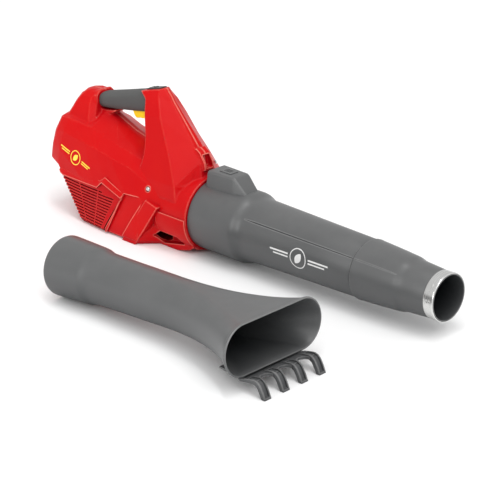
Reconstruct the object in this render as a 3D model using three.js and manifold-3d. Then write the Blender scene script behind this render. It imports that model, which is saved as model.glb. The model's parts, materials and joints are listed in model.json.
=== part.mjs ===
// Hand-held cordless leaf blower with its round front nozzle fitted and its wide flat nozzle, which carries
// a four-tooth rake, lying beside it. Millimetres. +X runs along the blow tube towards the nozzle, +Z is up.
// The origin is on the floor, under the tube's axis, on the flat base of the intake grille.
import * as THREE from "three";
import { mergeVertices } from "three/addons/utils/BufferGeometryUtils.js";
import Module from "manifold-3d";

const wasm = await Module();
wasm.setup();

// ---- Driving dimensions ----
const GAP = 0.35; // clearance between pieces that touch
const WALL = 3; // wall of the moulded housing
const AXIS_Z = 65; // height of the tube's axis over the floor
const TIP_X = 700; // front end of the round nozzle
const FRONT_X = 197; // front face of the housing, where the blow tube's collar starts
const STEP_X = 296; // front end of the collar's full diameter
const JOINT_X = 543; // rear edge of the round nozzle
const COLLAR_R = 60;
const TUBE_R = [53, 47.6]; // main tube, rear and front
const NOZZLE_R = [49, 43.6, 38]; // round nozzle: rear edge, shoulder, tip
const TUBE_WALL = 2.5;
const DUCT_R = 56; // outside of the fan duct
const FAN_R = 52.2;
const HUB_R = 25;
const SIDES = 36; // facets round the large tubes

// ---- Solids ----
// A closed geometry as a solid, turned the right way round if its faces point inwards.
function solid(geometry) {
  const bare = (geometry.index ? geometry.toNonIndexed() : geometry.clone());
  bare.deleteAttribute("normal");
  bare.deleteAttribute("uv");
  const merged = mergeVertices(bare, 1e-3);
  const position = merged.attributes.position;
  const kept = [];
  for (let i = 0; i < merged.index.count; i += 3) {
    const [a, b, c] = merged.index.array.slice(i, i + 3);
    if (a !== b && b !== c && c !== a) kept.push(a, b, c);
  }
  const triVerts = new Uint32Array(kept);
  const corner = [0, 1, 2].map(() => new THREE.Vector3());
  let volume = 0;
  for (let i = 0; i < triVerts.length; i += 3) {
    corner.forEach((c, k) => c.fromBufferAttribute(position, triVerts[i + k]));
    volume += corner[0].dot(corner[1].clone().cross(corner[2]));
  }
  if (volume < 0) {
    for (let i = 0; i < triVerts.length; i += 3) {
      [triVerts[i + 1], triVerts[i + 2]] = [triVerts[i + 2], triVerts[i + 1]];
    }
  }
  return new wasm.Manifold(new wasm.Mesh({ numProp: 3, vertProperties: position.array, triVerts }));
}

function geometryOf(made) {
  const mesh = made.getMesh();
  const geometry = new THREE.BufferGeometry();
  geometry.setAttribute("position", new THREE.BufferAttribute(new Float32Array(mesh.vertProperties), 3));
  geometry.setIndex(new THREE.BufferAttribute(new Uint32Array(mesh.triVerts), 1));
  geometry.computeVertexNormals();
  return geometry;
}

const union = (...solids) => solids.reduce((all, next) => all.add(next));

// A closed skin over rings of equal point count, each ring star-shaped about its middle.
function loft(rings) {
  const points = rings.flat().map((p) => new THREE.Vector3(...p));
  const count = rings[0].length;
  const faces = [];
  for (let r = 0; r + 1 < rings.length; r++) {
    for (let i = 0; i < count; i++) {
      const a = r * count + i;
      const b = r * count + ((i + 1) % count);
      faces.push([a, b, b + count], [a, b + count, a + count]);
    }
  }
  for (const [ring, start] of [[rings[0], 0], [rings.at(-1), (rings.length - 1) * count]]) {
    const middle = ring.reduce((sum, p) => sum.add(new THREE.Vector3(...p)), new THREE.Vector3());
    points.push(middle.divideScalar(count));
    for (let i = 0; i < count; i++) {
      const pair = [start + i, start + ((i + 1) % count)];
      faces.push(start === 0 ? [pair[1], pair[0], points.length - 1] : [...pair, points.length - 1]);
    }
  }
  const geometry = new THREE.BufferGeometry().setFromPoints(points);
  geometry.setIndex(faces.flat());
  return solid(geometry);
}

// A half outline of [side, height] pairs, from the middle round to the middle again, as a whole ring.
const mirrored = (half) => [...half, ...half.slice(1, -1).reverse().map(([y, z]) => [-y, z])];

const box = (x0, x1, y0, y1, z0, z1) =>
  solid(new THREE.BoxGeometry(x1 - x0, y1 - y0, z1 - z0).translate((x0 + x1) / 2, (y0 + y1) / 2, (z0 + z1) / 2));

// A profile of [x, radius] pairs turned about the tube's axis; one that doesn't start on it is closed.
function turned(profile, sides = SIDES) {
  const closed = profile[0][1] > 0 ? [...profile, profile[0]] : profile;
  const lathe = new THREE.LatheGeometry(closed.map(([x, r]) => new THREE.Vector2(r, x)), sides);
  return solid(lathe.rotateZ(-Math.PI / 2).translate(0, 0, AXIS_Z));
}

// A plain round bar along X, Y or Z.
function bar(along, from, to, r, at, sides = 16) {
  const shape = new THREE.CylinderGeometry(r, r, to - from, sides);
  const middle = (from + to) / 2;
  if (along === "x") shape.rotateZ(-Math.PI / 2).translate(middle, at[0], at[1]);
  if (along === "y") shape.translate(at[0], middle, at[1]);
  if (along === "z") shape.rotateX(Math.PI / 2).translate(at[0], at[1], middle);
  return solid(shape);
}

// A side outline of [x, z] pairs, as thick as 2 * half across the middle plane.
function slab(outline, half, y = 0) {
  const shape = new THREE.Shape(outline.map(([x, z]) => new THREE.Vector2(x, z)));
  const made = new THREE.ExtrudeGeometry(shape, { depth: 2 * half, bevelEnabled: false });
  return solid(made.rotateX(Math.PI / 2).translate(0, y + half, 0));
}

// A round section of the given radius carried along points, with closed ends.
function wire(points, r, steps, sides = 8) {
  const section = new THREE.Shape().absarc(0, 0, r, 0, 2 * Math.PI);
  const path = new THREE.CatmullRomCurve3(points.map((p) => new THREE.Vector3(...p)));
  return solid(new THREE.ExtrudeGeometry(section, { steps, extrudePath: path, curveSegments: sides / 2 }));
}

// A helical spring round a line along Z or Y.
function coil(along, centre, r, wireR, from, to, turns) {
  const count = Math.round(turns * 8);
  const points = Array.from({ length: count + 1 }, (_, i) => {
    const angle = (i / 8) * 2 * Math.PI;
    const rise = from + wireR + ((to - from - 2 * wireR) * i) / count;
    const [a, b] = [centre[0] + r * Math.cos(angle), centre[1] + r * Math.sin(angle)];
    return along === "z" ? [a, b, rise] : [a, rise, b];
  });
  return wire(points, wireR, count, 6);
}

// ---- Materials ----
const look = (color, roughness, metalness = 0) => new THREE.MeshStandardMaterial({ color, roughness, metalness });
const red = look(0xd81e18, 0.3);
const grey = look(0x5f6060, 0.55);
const gripGrey = look(0x4c4d4c, 0.8);
const yellow = look(0xffd000, 0.4);
const black = look(0x222324, 0.6);
const steel = look(0xc4c6c4, 0.3, 1);
const copper = look(0xb66a3c, 0.4, 1);
const boardGreen = look(0x1f5a36, 0.6);
const rubber = look(0x2a2a2a, 0.9);

const blower = new THREE.Group();

function part(name, made, material, parent = blower) {
  const mesh = new THREE.Mesh(geometryOf(made), material);
  mesh.name = name;
  parent.add(mesh);
  return mesh;
}

// ---- Housing outline ----
// Cross-sections of the body: x, how far the top leans forward, then the half outline from the floor side up.
const BODY = [
  [-152, 22, [[0, 92], [44, 92], [53, 98], [54, 118], [52, 145], [42, 168], [8, 176], [0, 177]]],
  [-143, 20, [[0, 87], [50, 87], [60, 94], [61, 118], [57, 147], [47, 170], [10, 182], [0, 183]]],
  [-118, 14, [[0, 80], [56, 80], [66, 88], [66, 118], [60, 149], [48, 171], [10, 185], [0, 186]]],
  [-53, 3, [[0, 0], [65, 0], [72, 8], [72, 84], [62, 142], [45, 166], [10, 188], [0, 189]]],
  [-22, 0, [[0, 0], [68, 0], [76, 8], [73, 84], [62, 138], [44, 157], [9, 178], [0, 179]]],
  [12, 0, [[0, 0], [71, 0], [79, 8], [73, 84], [62, 132], [44, 150], [8, 165], [0, 166]]],
  [60, 0, [[0, 0], [72, 0], [80, 8], [72, 84], [60, 124], [44, 141], [8, 153], [0, 154]]],
  [92, 0, [[0, 0], [72, 0], [80, 8], [70, 82], [60, 112], [42, 135], [8, 150], [0, 151]]],
  [118, 0, [[0, 0], [44, 0], [51, 6], [66, 78], [60, 98], [42, 119], [8, 134], [0, 135]]],
  [140, 0, [[0, 2], [36, 4], [42, 10], [63, 66], [60, 84], [40, 113], [8, 126], [0, 127]]],
];
const LEAN_FROM_Z = 90; // the lean is measured from this height, over LEAN_RISE
const LEAN_RISE = 88;
// Handle pillar, as flat sections: height, rear x, ridge x, nose x, half width of the side, half width of the nose.
const PILLAR = [
  [92, 74, 170, 192, 60, 26],
  [115, 76, 163, 194, 56, 22],
  [150, 80, 144, 182, 46, 16],
  [178, 76, 126, 160, 38, 11],
  [214, 66, 105, 128, 30, 8],
  [236, 60, 94, 108, 22, 7],
  [246, 44, 87, 101, 17, 7],
  [252, 42, 85, 95, 13, 7],
  [262, 42, 80, 87, 10, 6],
];
// The pillar's top climbs towards the nose.
const TOP_FROM = [46, 246.5];
const TOP_SLOPE = 0.25;
const topZ = (x) => TOP_FROM[1] + (x - TOP_FROM[0]) * TOP_SLOPE;
// Rear support of the handle: height, rear x, front x, half width.
const HUMP = [
  [160, -134, -52, 44],
  [178, -124, -58, 38],
  [197, -115, -63, 31],
  [211, -107, -64, 24],
  [218, -100, -66, 17],
  [220.5, -94, -72, 12],
];
const MIDDLE_Z = 100; // body points under this height move up when the body is drawn smaller

// The body, smaller all round by inset.
function body(inset = 0) {
  const last = BODY.length - 1;
  return loft(BODY.map(([x, lean, half], i) => {
    const move = i === 0 ? inset : i === last ? -inset : 0;
    const ring = half.map(([y, z]) => [Math.max(y - inset, 0), z < MIDDLE_Z && z < half[3][1] ? z + inset : z - inset]);
    return mirrored(ring).map(([y, z]) => [x + move + (lean * (z - LEAN_FROM_Z)) / LEAN_RISE, y, z]);
  }));
}

function pillar(inset = 0) {
  const top = PILLAR.length - 1;
  return loft(PILLAR.map(([z, rear, ridge, nose, side, tip], i) => {
    const half = [
      [rear - 6 + inset, 0],
      [rear - 5 + inset, side - 14 - inset],
      [rear + inset, side - inset],
      [ridge - inset / 2, side - inset],
      [nose - 3 - inset, tip - inset / 2],
      [nose - inset, tip - 3 - inset / 2],
      [nose - inset, 0],
    ].map(([x, y]) => [x, Math.max(y, 0)]);
    return mirrored(half.map(([x, y]) => [y, x])).map(([y, x]) => [x, y, i === top ? z - inset : z]);
  })).subtract(slab([[0, topZ(0) - inset], [0, 300], [150, 300], [150, topZ(150) - inset]], 90));
}

function hump(inset = 0) {
  const top = HUMP.length - 1;
  return loft(HUMP.map(([z, rear, front, side], i) => {
    const [r, f, s] = [rear + inset, front - inset, side - inset];
    const half = [[r, 0], [r, s - 9], [r + 9, s], [f - 9, s], [f, s - 9], [f, 0]];
    return mirrored(half.map(([x, y]) => [y, x])).map(([y, x]) => [x, y, i === top ? z - inset : z]);
  }));
}

// The handle's line climbs towards the front.
const handleZ = (x) => 206.5 + (x + 60) * 0.214;
const gripHalf = (x) => 12.8 + (x + 60) * 0.048;

// A length of the handle: an eight-sided section, as stations of x, half width and half height.
function handleBar(stations) {
  return loft(stations.map(([x, w, h]) => {
    const z = handleZ(x);
    const c = Math.min(w, h) * 0.45;
    return mirrored([[0, -h], [w - c, -h], [w, c - h], [w, h - c], [w - c, h], [0, h]]).map(([y, dz]) => [x, y, z + dz]);
  }));
}

// ---- Housing ----
const GRILLE_OUTLINE = [[-130, 83], [-96, 78], [-6, 76], [6, 87], [55, 73], [13, -6], [-90, -6]];
const screwSpots = [[-86, 196], [80, 237], [104, 172], [168, 138], [69, 11], [-112, 88]];
const BOSS_R = 4.6;
const SCREW_R = 2;
const DUCT_SCREW = [106, 99]; // x and z of the two short screws that hold the fan duct

const bay = box(-170, 6, -42, 42, 93, 150);
const ductSpace = turned([[70, 0], [70, 61.5], [86, 61.5], [86, DUCT_R + GAP], [210, DUCT_R + GAP], [210, 0]]);
const frontRing = turned([[104, 40], [104, 58], [112, 64], [190, 64.5], [FRONT_X, 63], [FRONT_X, 40]]);
const foot = slab([[104, 0], [160, 0], [186, 7], [196.5, 14], [196.5, 34], [104, 40]], 46);
const POCKET = [[114, 18], [130, 25], [170, 25], [173, 15], [128, 5]];
const footPocket = [-47, 47].map((y) => slab(POCKET, 13, y));
const skin = union(body(), pillar(), hump(), handleBar([[-90, 11, 10], [80, 11, 12]]), frontRing, foot);
const hollow = union(
  body(WALL),
  pillar(WALL),
  hump(WALL),
  handleBar([[-98, 8, 7], [84, 8, 9]]),
);
const grilleSpace = slab(GRILLE_OUTLINE, 90);
const latchPocket = box(172, 194, -7, 7, 143, 165);
const triggerSlot = box(-2, 56, -7.2, 7.2, 185, 219).add(box(26, 65.2, -7.2, 7.2, 216, 234));
const bosses = union(...screwSpots.map((s) => bar("y", -60, 60, BOSS_R, s, 12))).intersect(skin);
const pinSeat = bar("y", -9.5, 9.5, 4.2, [50, 228.5], 12);
const turboWell = box(52.6, 65.4, -6.4, 6.4, 233.6, 270);

const shell = skin
  .subtract(hollow)
  .add(bosses)
  .add(pinSeat)
  .subtract(union(bay, ductSpace, grilleSpace, latchPocket, triggerSlot, turboWell, ...footPocket));

function makeHousing() {
  const screwHoles = union(...screwSpots.map((s) => union(
    bar("y", -12, headDepth(s) + 1, SCREW_R + GAP, s, 12),
    bar("y", headDepth(s), 95, 4.4, s, 12),
  )));
  const ductHoles = [-1, 1].map((side) => union(
    side < 0 ? bar("y", -80, -50, 2.4, DUCT_SCREW, 12) : bar("y", 50, 80, 2.4, DUCT_SCREW, 12),
    side < 0 ? bar("y", -80, -59.6, 4.6, DUCT_SCREW, 12) : bar("y", 59.6, 80, 4.6, DUCT_SCREW, 12),
  ));
  const cut = shell.subtract(union(screwHoles, ...ductHoles, bar("y", -8, 8, 1.9, [50, 228.5], 12)));
  part("housing_left", biggest(cut.intersect(box(-200, 240, GAP / 2, 100, -10, 280))), red);
  part("housing_right", biggest(cut.intersect(box(-200, 240, -100, -GAP / 2, -10, 280))), red);
}

// Depth from the middle plane at which a screw's head rests, just inside the outer skin.
function headDepth(spot) {
  const column = skin.intersect(bar("y", 0, 100, 1, spot, 8));
  return column.boundingBox().max[1] - 3.4;
}

const biggest = (made) => made.decompose().sort((a, b) => b.volume() - a.volume())[0];

function makeScrews() {
  screwSpots.forEach((spot, i) => {
    const rest = headDepth(spot) + GAP;
    const shank = bar("y", -11, rest + 0.5, SCREW_R, spot, 10);
    const head = bar("y", rest, rest + 2.4, 3.8, spot, 12);
    const socket = bar("y", rest + 1, rest + 4, 1.5, spot, 6);
    part(`housing_screw_${i + 1}`, union(shank, head).subtract(socket), steel);
  });
  [["duct_screw_right", -1], ["duct_screw_left", 1]].forEach(([name, side]) => {
    const [inner, seat, outer] = [52, 60, 62.4].map((y) => y * side);
    const shank = bar("y", Math.min(inner, seat + side), Math.max(inner, seat + side), SCREW_R, DUCT_SCREW, 10);
    const head = bar("y", Math.min(seat, outer), Math.max(seat, outer), 4, DUCT_SCREW, 12);
    part(name, union(shank, head), steel);
  });
}

// ---- Intake grille: one cage with louvred sides, a louvred back and the flat base ----
function makeGrille() {
  const window = slab([[-130, 82.2], [-96, 77.3], [-5.8, 75.3], [6, 86], [54, 72.4], [12.6, -5], [-90, -5]], 90);
  const plate = body(0).intersect(box(-80, 14, -90, 90, -1, 3));
  const sheet = body(2).subtract(body(5));
  const louvres = Array.from({ length: 11 }, (_, row) => {
    const z = 8.5 + row * 6;
    const rear = -60 - (z / 80) * 55;
    const front = 10 + (z / 80) * 38;
    const middle = rear * 0.34 + front * 0.66;
    return union(
      box(rear - 8, rear + 14, -46, 46, z, z + 3.2),
      box(rear + 17, middle - 2, -90, 90, z, z + 3.2),
      box(middle + 2, front - 4, -90, 90, z, z + 3.2),
    );
  });
  const keepTop = box(-120, 60, -90, 90, 66.5, 82);
  const cuts = union(...louvres).subtract(keepTop);
  const cage = union(sheet, plate).intersect(window).subtract(cuts).subtract(union(bay, ductSpace));
  const clearScrews = union(...screwSpots.map((s) => bar("y", -90, 90, BOSS_R + GAP, s, 12)));
  part("intake_grille", biggest(cage.subtract(clearScrews)), red);
}

// ---- Handle ----
function makeHandle() {
  const stations = [-62, -40, -10, 20, 58];
  const sleeve = handleBar(stations.map((x) => [x, 17 + (x + 62) * 0.01, gripHalf(x)]));
  const bore = handleBar([[-90, 11 + GAP, 10 + GAP], [80, 11 + GAP, 12 + GAP]]);
  const overPillar = slab([[44, topZ(44)], [70, topZ(70)], [70, 300], [44, 300]], 30);
  const grip = sleeve.subtract(union(bore, pillar(-GAP), hump(-GAP), triggerSlot, overPillar));
  part("handle_grip", biggest(grip), gripGrey);

  const [padRear, padFront, thick] = [48, 82, 2];
  const pad = slab([[padRear, topZ(padRear) + GAP], [padFront, topZ(padFront) + GAP],
    [padFront, topZ(padFront) + thick], [padRear, topZ(padRear) + thick]], 7.6);
  part("thumb_pad", pad.subtract(turboWell), gripGrey);

  const turbo = slab([[53.2, 247.4], [64.8, 247.4], [64.8, 254.4], [53.2, 251.6]], 5.8);
  part("turbo_button", union(turbo, box(55, 63, -4, 4, 244.8, 248)), grey);
  part("turbo_spring", coil("z", [59, 0], 3, 0.4, 240.7, 244.5, 2), steel);
  part("turbo_switch", union(box(53, 65, -6, 6, 234, 238.6), bar("z", 238, 240.3, 2, [59, 0], 10)), black);
}

function makeTrigger() {
  const lever = slab([[52, 225], [54, 229.5], [50, 233], [45.5, 231], [38, 222], [10, 214], [5, 204],
    [8, 193], [14, 188], [26, 190.5], [38, 192], [44, 196], [48, 206]], 6.8);
  const pivot = bar("y", -10, 10, 1.8 + GAP, [50, 228.5], 14);
  const springBay = bar("y", -4.2, 4.2, 5.4, [50, 228.5], 14);
  part("trigger", biggest(lever.subtract(union(pivot, springBay))), yellow);
  part("trigger_pin", bar("y", -7.6, 7.6, 1.5, [50, 228.5], 12), steel);
  part("trigger_spring", coil("y", [50, 228.5], 3.4, 0.55, -3.4, 3.4, 4), steel);
  part("trigger_switch", union(box(65.6, 84, -8, 8, 214, 228), box(60, 66, -2.5, 2.5, 219, 222)), black);
}

// ---- Fan, duct and motor ----
const FAN_X = [88, 112];
const HUB_X = [117, 178];
const MOTOR_X = [121, 168];
const VANES = 7;
const BLADES = 9;

function makeDuct() {
  const tube = turned([[86, DUCT_R - 2.6], [78, 59], [75, 61], [80, 61], [89, DUCT_R], [239, DUCT_R - 0.6],
    [239, DUCT_R - 3]]);
  const hub = turned([[HUB_X[0], 0], [HUB_X[0], HUB_R - 2], [HUB_X[0] + 2, HUB_R], [HUB_X[1], HUB_R], [HUB_X[1], 0]],
    28);
  const bore = turned([[MOTOR_X[0], 0], [MOTOR_X[0], 22.4], [HUB_X[1] + 1, 22.4], [HUB_X[1] + 1, 0]], 28);
  const shaftHole = bar("x", 100, 130, 6.4, [0, AXIS_Z], 20);
  const vane = (i) => {
    const turn = (i / VANES) * 2 * Math.PI;
    const half = i === 0 ? 3.4 : 1.3;
    const blade = new THREE.BoxGeometry(44, 2 * half, DUCT_R - HUB_R + 1);
    blade.translate(150, 0, (DUCT_R + HUB_R) / 2 - 1.5).rotateX(turn).translate(0, 0, AXIS_Z);
    return solid(blade);
  };
  const vanes = Array.from({ length: VANES }, (_, i) => vane(i));
  const pads = [-1, 1].map((side) => {
    const [from, to] = side < 0 ? [-54.3, -45] : [45, 54.3];
    return bar("y", from, to, 6, DUCT_SCREW, 12);
  });
  const air = turned([[60, 0], [60, DUCT_R - 2.6], [260, DUCT_R - 2.6], [260, 0]]);
  const rings = union(tube, ...pads.map((p) => p.subtract(air)));
  const holes = union(bar("y", -70, -50, SCREW_R + GAP, DUCT_SCREW, 10), bar("y", 50, 70, SCREW_R + GAP, DUCT_SCREW, 10),
    bar("z", 110, 130, 2.9, [132, 0], 12));
  const duct = union(rings, hub, ...vanes).subtract(union(bore, shaftHole, holes));
  part("fan_duct", biggest(duct), black);
  part("duct_grommet", bar("z", 117.5, 123.4, 2.5, [132, 0], 12), rubber);
}

function makeMotor() {
  const [rear, front] = MOTOR_X;
  const can = turned([[rear + GAP, 0], [rear + GAP, 20], [rear + 2, 22], [front, 22], [front, 0]], 28);
  const inside = turned([[rear + 3, 0], [rear + 3, 15.6], [front - 3, 15.6], [front - 3, 0]], 24);
  const ends = union(bar("x", rear - 2, rear + 5, 6.4, [0, AXIS_Z], 20), bar("x", front - 5, front + 2, 6.4, [0, AXIS_Z], 20));
  part("motor_stator", can.subtract(union(inside, ends)), copper);
  const laminations = bar("x", rear + 8, front - 8, 15, [0, AXIS_Z], 20);
  const shaft = bar("x", 82, front + 6, 2.5, [0, AXIS_Z], 12);
  part("motor_rotor", union(laminations, shaft), steel);
  [["bearing_front", front - 4.6], ["bearing_rear", rear - 3.4]].forEach(([name, x]) => {
    const ring = bar("x", x, x + 4.2, 6, [0, AXIS_Z], 20).subtract(bar("x", x - 1, x + 6, 2.9, [0, AXIS_Z], 14));
    part(name, ring, steel);
  });
  const coneSkin = [[178.4, 0], [178.4, 25], [190, 23.5], [206, 18], [220, 10], [228, 0]];
  const plug = union(turned(coneSkin, 28), bar("x", 172, 180, 21.8, [0, AXIS_Z], 28));
  part("tail_cone", plug.subtract(bar("x", 160, 181, 8, [0, AXIS_Z], 20)), black);
}

function makeFan() {
  const [back, front] = FAN_X;
  const hub = turned([[back - 2, 0], [back - 2, 14], [back + 2, 21], [back + 8, 24], [front + 2, HUB_R], [front + 2, 0]],
    28);
  const blade = (i) => {
    const stations = Array.from({ length: 5 }, (_, k) => {
      const r = 21 + (k * (FAN_R - 21)) / 4;
      const pitch = THREE.MathUtils.degToRad(38 + k * 5.5);
      const chord = 15 - k * 0.6;
      const reach = Math.min(chord * Math.cos(pitch), 11);
      const swing = chord * Math.sin(pitch);
      const thick = 1.7 - k * 0.2;
      const sweep = k * 0.05;
      const ring = [[-reach, -swing, 0.5], [0, -1.4, 1], [reach, swing, 0.4], [reach, swing, -0.4], [0, -1.4, -1], [-reach, -swing, -0.5]];
      return ring.map(([x, s, t]) => {
        const angle = (s + t * thick * Math.cos(pitch)) / r + sweep;
        return [100 + x + t * thick * 0.6, r * Math.sin(angle), r * Math.cos(angle)];
      });
    });
    const spin = (2 * Math.PI * i) / BLADES;
    return loft(stations.map((ring) => ring.map(([x, y, z]) => [
      x,
      y * Math.cos(spin) - z * Math.sin(spin),
      AXIS_Z + y * Math.sin(spin) + z * Math.cos(spin),
    ])));
  };
  const blades = Array.from({ length: BLADES }, (_, i) => blade(i));
  const bore = bar("x", 70, 130, 2.5 + GAP, [0, AXIS_Z], 14);
  const inside = turned([[back + 8, 0], [back + 8, 20], [130, 21.5], [130, 0]], 24);
  const stem = bar("x", back, front, 6, [0, AXIS_Z], 16);
  part("fan_impeller", biggest(union(hub.subtract(inside), stem, ...blades).subtract(bore)), black);
  const nut = bar("x", 80, 85.6, 5, [0, AXIS_Z], 6).subtract(bar("x", 70, 90, 2.5 + GAP, [0, AXIS_Z], 14));
  part("fan_nut", nut, steel);
}

// ---- Battery and electrics ----
const PACK_X = [-149, -20];
const BUTTON_X = -133; // inner face of the battery's release button
// What lies inside the leaning rear face of the housing, as a side outline.
const REAR_LEAN = slab([[-149.2, 93], [-136, 150], [10, 150], [10, 93]], 60);

function makeBattery() {
  const [rear, front] = PACK_X;
  const half = (w, low, high, c) => mirrored([[0, low], [w - c, low], [w, low + c], [w, high - c], [w - c, high], [0, high]]);
  const stations = [[rear, 36, 97.5, 146], [rear + 4, 38, 96, 147.5], [front, 38, 96, 147.5]];
  const core = loft(stations.map(([x, w, low, high]) => half(w, low, high, 6).map(([y, z]) => [x, y, z])));
  const grooves = union(...[-1, 1].map((side) => box(rear - 1, front + 2, side * 38 - 3, side * 38 + 3, 128, 134)));
  const slots = union(...[-18, 0, 18].map((y) => box(front - 9, front + 2, y - 1.6, y + 1.6, 103, 121)));
  const buttonWell = box(rear - 2, BUTTON_X + 5, -13, 13, 131, 141);
  part("battery_pack", core.intersect(REAR_LEAN).subtract(union(grooves, slots, buttonWell)), black);
  part("battery_button", slab([[-141.2, 131.6], [-139.2, 140.4], [BUTTON_X, 140.4], [BUTTON_X, 131.6]], 12.4), yellow);
  part("battery_button_spring", wire(zigzag(BUTTON_X + 0.4, BUTTON_X + 4.6), 0.5, 24, 6), steel);

  const tray = box(-150, 5.4, -41.6, 41.6, 93.4, 149.6).intersect(REAR_LEAN).subtract(union(
    box(-170, 2, -39, 39, 95.2, 148.2),
    box(-30, 10, -30, 30, 98, 126),
  ));
  const rails = union(...[-1, 1].map((side) => box(-134, -24, side * 37.7 - 1.8, side * 37.7 + 1.8, 129, 133)));
  part("battery_cradle", biggest(union(tray, rails)), black);
  const block = union(
    box(-17, -3, -28, 28, 99, 125),
    ...[-18, 0, 18].map((y) => box(-27, -16, y - 0.7, y + 0.7, 105, 119)),
  );
  part("terminal_block", block, black);
}

// A short wave spring behind the battery's release button, along X.
function zigzag(from, to) {
  return Array.from({ length: 9 }, (_, i) => [from + 0.5 + ((to - from - 1) * (i % 2)), -8 + 2 * i, 136]);
}

function makeElectrics() {
  part("controller_board", box(9, 62, -30, 30, 129.2, 131), boardGreen);
  const fins = union(...Array.from({ length: 6 }, (_, i) => box(14 + i * 6, 16.2 + i * 6, -22, 22, 132, 137)));
  part("controller_heatsink", union(box(12, 50, -24, 24, 131.35, 133), fins), steel);
  part("battery_lead_red", wire([[-2.4, 9, 117], [6, 9, 117], [14, 9, 120], [20, 9, 127.8]], 1.7, 10), look(0xb01812, 0.5));
  part("battery_lead_black", wire([[-2.4, -9, 117], [6, -9, 117], [14, -9, 120], [20, -9, 127.8]], 1.7, 10), rubber);
  part("motor_lead", wire([[62.6, 0, 130.1], [72, 0, 130.6], [84, 0, 130], [100, 0, 124.6], [120, 0, 124.6],
    [129, 0, 126.6], [131.8, 0, 126.4], [132, 0, 124.2]], 1.5, 26), rubber);
  part("switch_lead", wire([[62.6, 12, 130.1], [70, 12, 130.6], [80, 11, 136], [84, 8, 160], [80, 5, 195],
    [76, 4, 213.4]], 1.4, 22), rubber);
}

// ---- Blow tube ----
const BOSS_TOP = 147;
const LATCH_X = [222, 248];

function makeBlowTube() {
  const w = TUBE_WALL;
  const outer = [[FRONT_X + GAP, COLLAR_R], [STEP_X - 4, COLLAR_R - 0.4], [STEP_X + 12, TUBE_R[0] + 0.4],
    [STEP_X + 20, TUBE_R[0]], [JOINT_X - 1.5, TUBE_R[1]], [JOINT_X + 0.8, 46.2], [JOINT_X + 50, 43.1]];
  const inner = [[JOINT_X + 50, 40.8], [JOINT_X, 44], [STEP_X + 20, TUBE_R[0] - w], [STEP_X + 8, TUBE_R[0] - w],
    [STEP_X - 6, COLLAR_R - 3.2], [FRONT_X + GAP, COLLAR_R - 3.2]];
  const tube = turned([...outer, ...inner]);
  const solidInside = turned([[100, 0], [100, COLLAR_R - 3.2], [STEP_X - 6, COLLAR_R - 3.2], [STEP_X + 8, TUBE_R[0] - w],
    [STEP_X + 60, TUBE_R[0] - w], [STEP_X + 60, 0]]);
  const boss = loft([
    [206, 22, 15, BOSS_TOP], [252, 22, 14, BOSS_TOP], [271, 21, 12.5, BOSS_TOP - 0.5], [288, 19, 12, 131], [300, 18, 10, 118],
  ].map(([x, low, high, top]) => mirrored([[0, 90], [low, 90], [low, 116], [high, top - 2], [high - 3, top], [0, top]])
    .map(([y, z]) => [x, y, z])));
  const well = box(LATCH_X[0] - 0.5, LATCH_X[1] + 0.5, -9.5, 9.5, 128, 160);
  const springSeat = bar("z", 127, 130, 5, [235, 0], 14);
  const ribs = [-1, 1].map((side) => {
    const [from, to] = [STEP_X + 16, JOINT_X - 6];
    const angle = THREE.MathUtils.degToRad(36);
    const ring = (x, r) => [[r - 3, -1.6], [r + 1, -1.2], [r + 1, 0.6], [r - 3, 1]].map(([q, s]) => [
      x,
      side * (q * Math.cos(angle) - s * Math.sin(angle)),
      AXIS_Z + q * Math.sin(angle) + s * Math.cos(angle),
    ]);
    return loft([ring(from, TUBE_R[0] - 1), ring(from + 20, TUBE_R[0] - 0.4), ring(to, TUBE_R[1])]);
  });
  const air = turned([[180, 0], [180, COLLAR_R - 3.2], [STEP_X - 6, COLLAR_R - 3.2], [STEP_X + 8, TUBE_R[0] - w],
    [STEP_X + 20, TUBE_R[0] - w], [JOINT_X, 44], [JOINT_X + 60, 40], [JOINT_X + 60, 0]]);
  const trim = union(boss.subtract(solidInside), ...ribs);
  part("blow_tube", biggest(union(tube, trim).subtract(union(air, well)).add(springSeat)), grey);
  const button = union(
    box(LATCH_X[0], LATCH_X[1], -9, 9, 141, BOSS_TOP + 1.6),
    box(LATCH_X[0], LATCH_X[0] + 3, -6, 6, 134, 142),
  );
  part("tube_latch", button, grey);
  part("tube_latch_spring", coil("z", [235, 0], 4, 0.6, 130.4, 140.6, 4), steel);
}

// ---- Round nozzle ----
function makeNozzle() {
  const w = 2.2;
  const outer = [[JOINT_X + GAP, NOZZLE_R[0] - 0.8], [JOINT_X + 2, NOZZLE_R[0]], [630, NOZZLE_R[1]], [638, 41], [679.6, 38.2],
    [681, 37.2], [TIP_X, 37.2]];
  const inner = [[TIP_X, 35.4], [680, 35.6], [638, 38.6], [628, 41.2], [JOINT_X + GAP, 46.8]];
  part("round_nozzle", turned([...outer, ...inner]), grey);
  const ring = [[681.4, 37.2 + GAP], [681.4, 38.6], [698.6, 38.6], [699.6, 37.2 + GAP]];
  part("nozzle_ring", turned(ring), steel);
}

// ---- Wide flat nozzle with its rake, lying on the floor beside the blower ----
const CUP_R = 49;
const MOUTH = { x: 444, wide: 204, high: 78, wall: 2.4 };
const FLAT_AT = [168, -293.5];
const FLAT_PITCH = THREE.MathUtils.degToRad(2.1);
const FLAT_YAW = THREE.MathUtils.degToRad(1.2);
const FLAT_SIDES = 36;

// A ring that is a circle when wide equals high, and otherwise has flat top and bottom and round ends.
function oval(x, wide, high) {
  const r = high / 2;
  const reach = (wide - high) / 2;
  return Array.from({ length: FLAT_SIDES }, (_, i) => {
    const angle = ((i + 0.5) / FLAT_SIDES) * 2 * Math.PI;
    return [x, r * Math.cos(angle) + Math.sign(Math.cos(angle)) * reach, r * Math.sin(angle)];
  });
}

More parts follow.
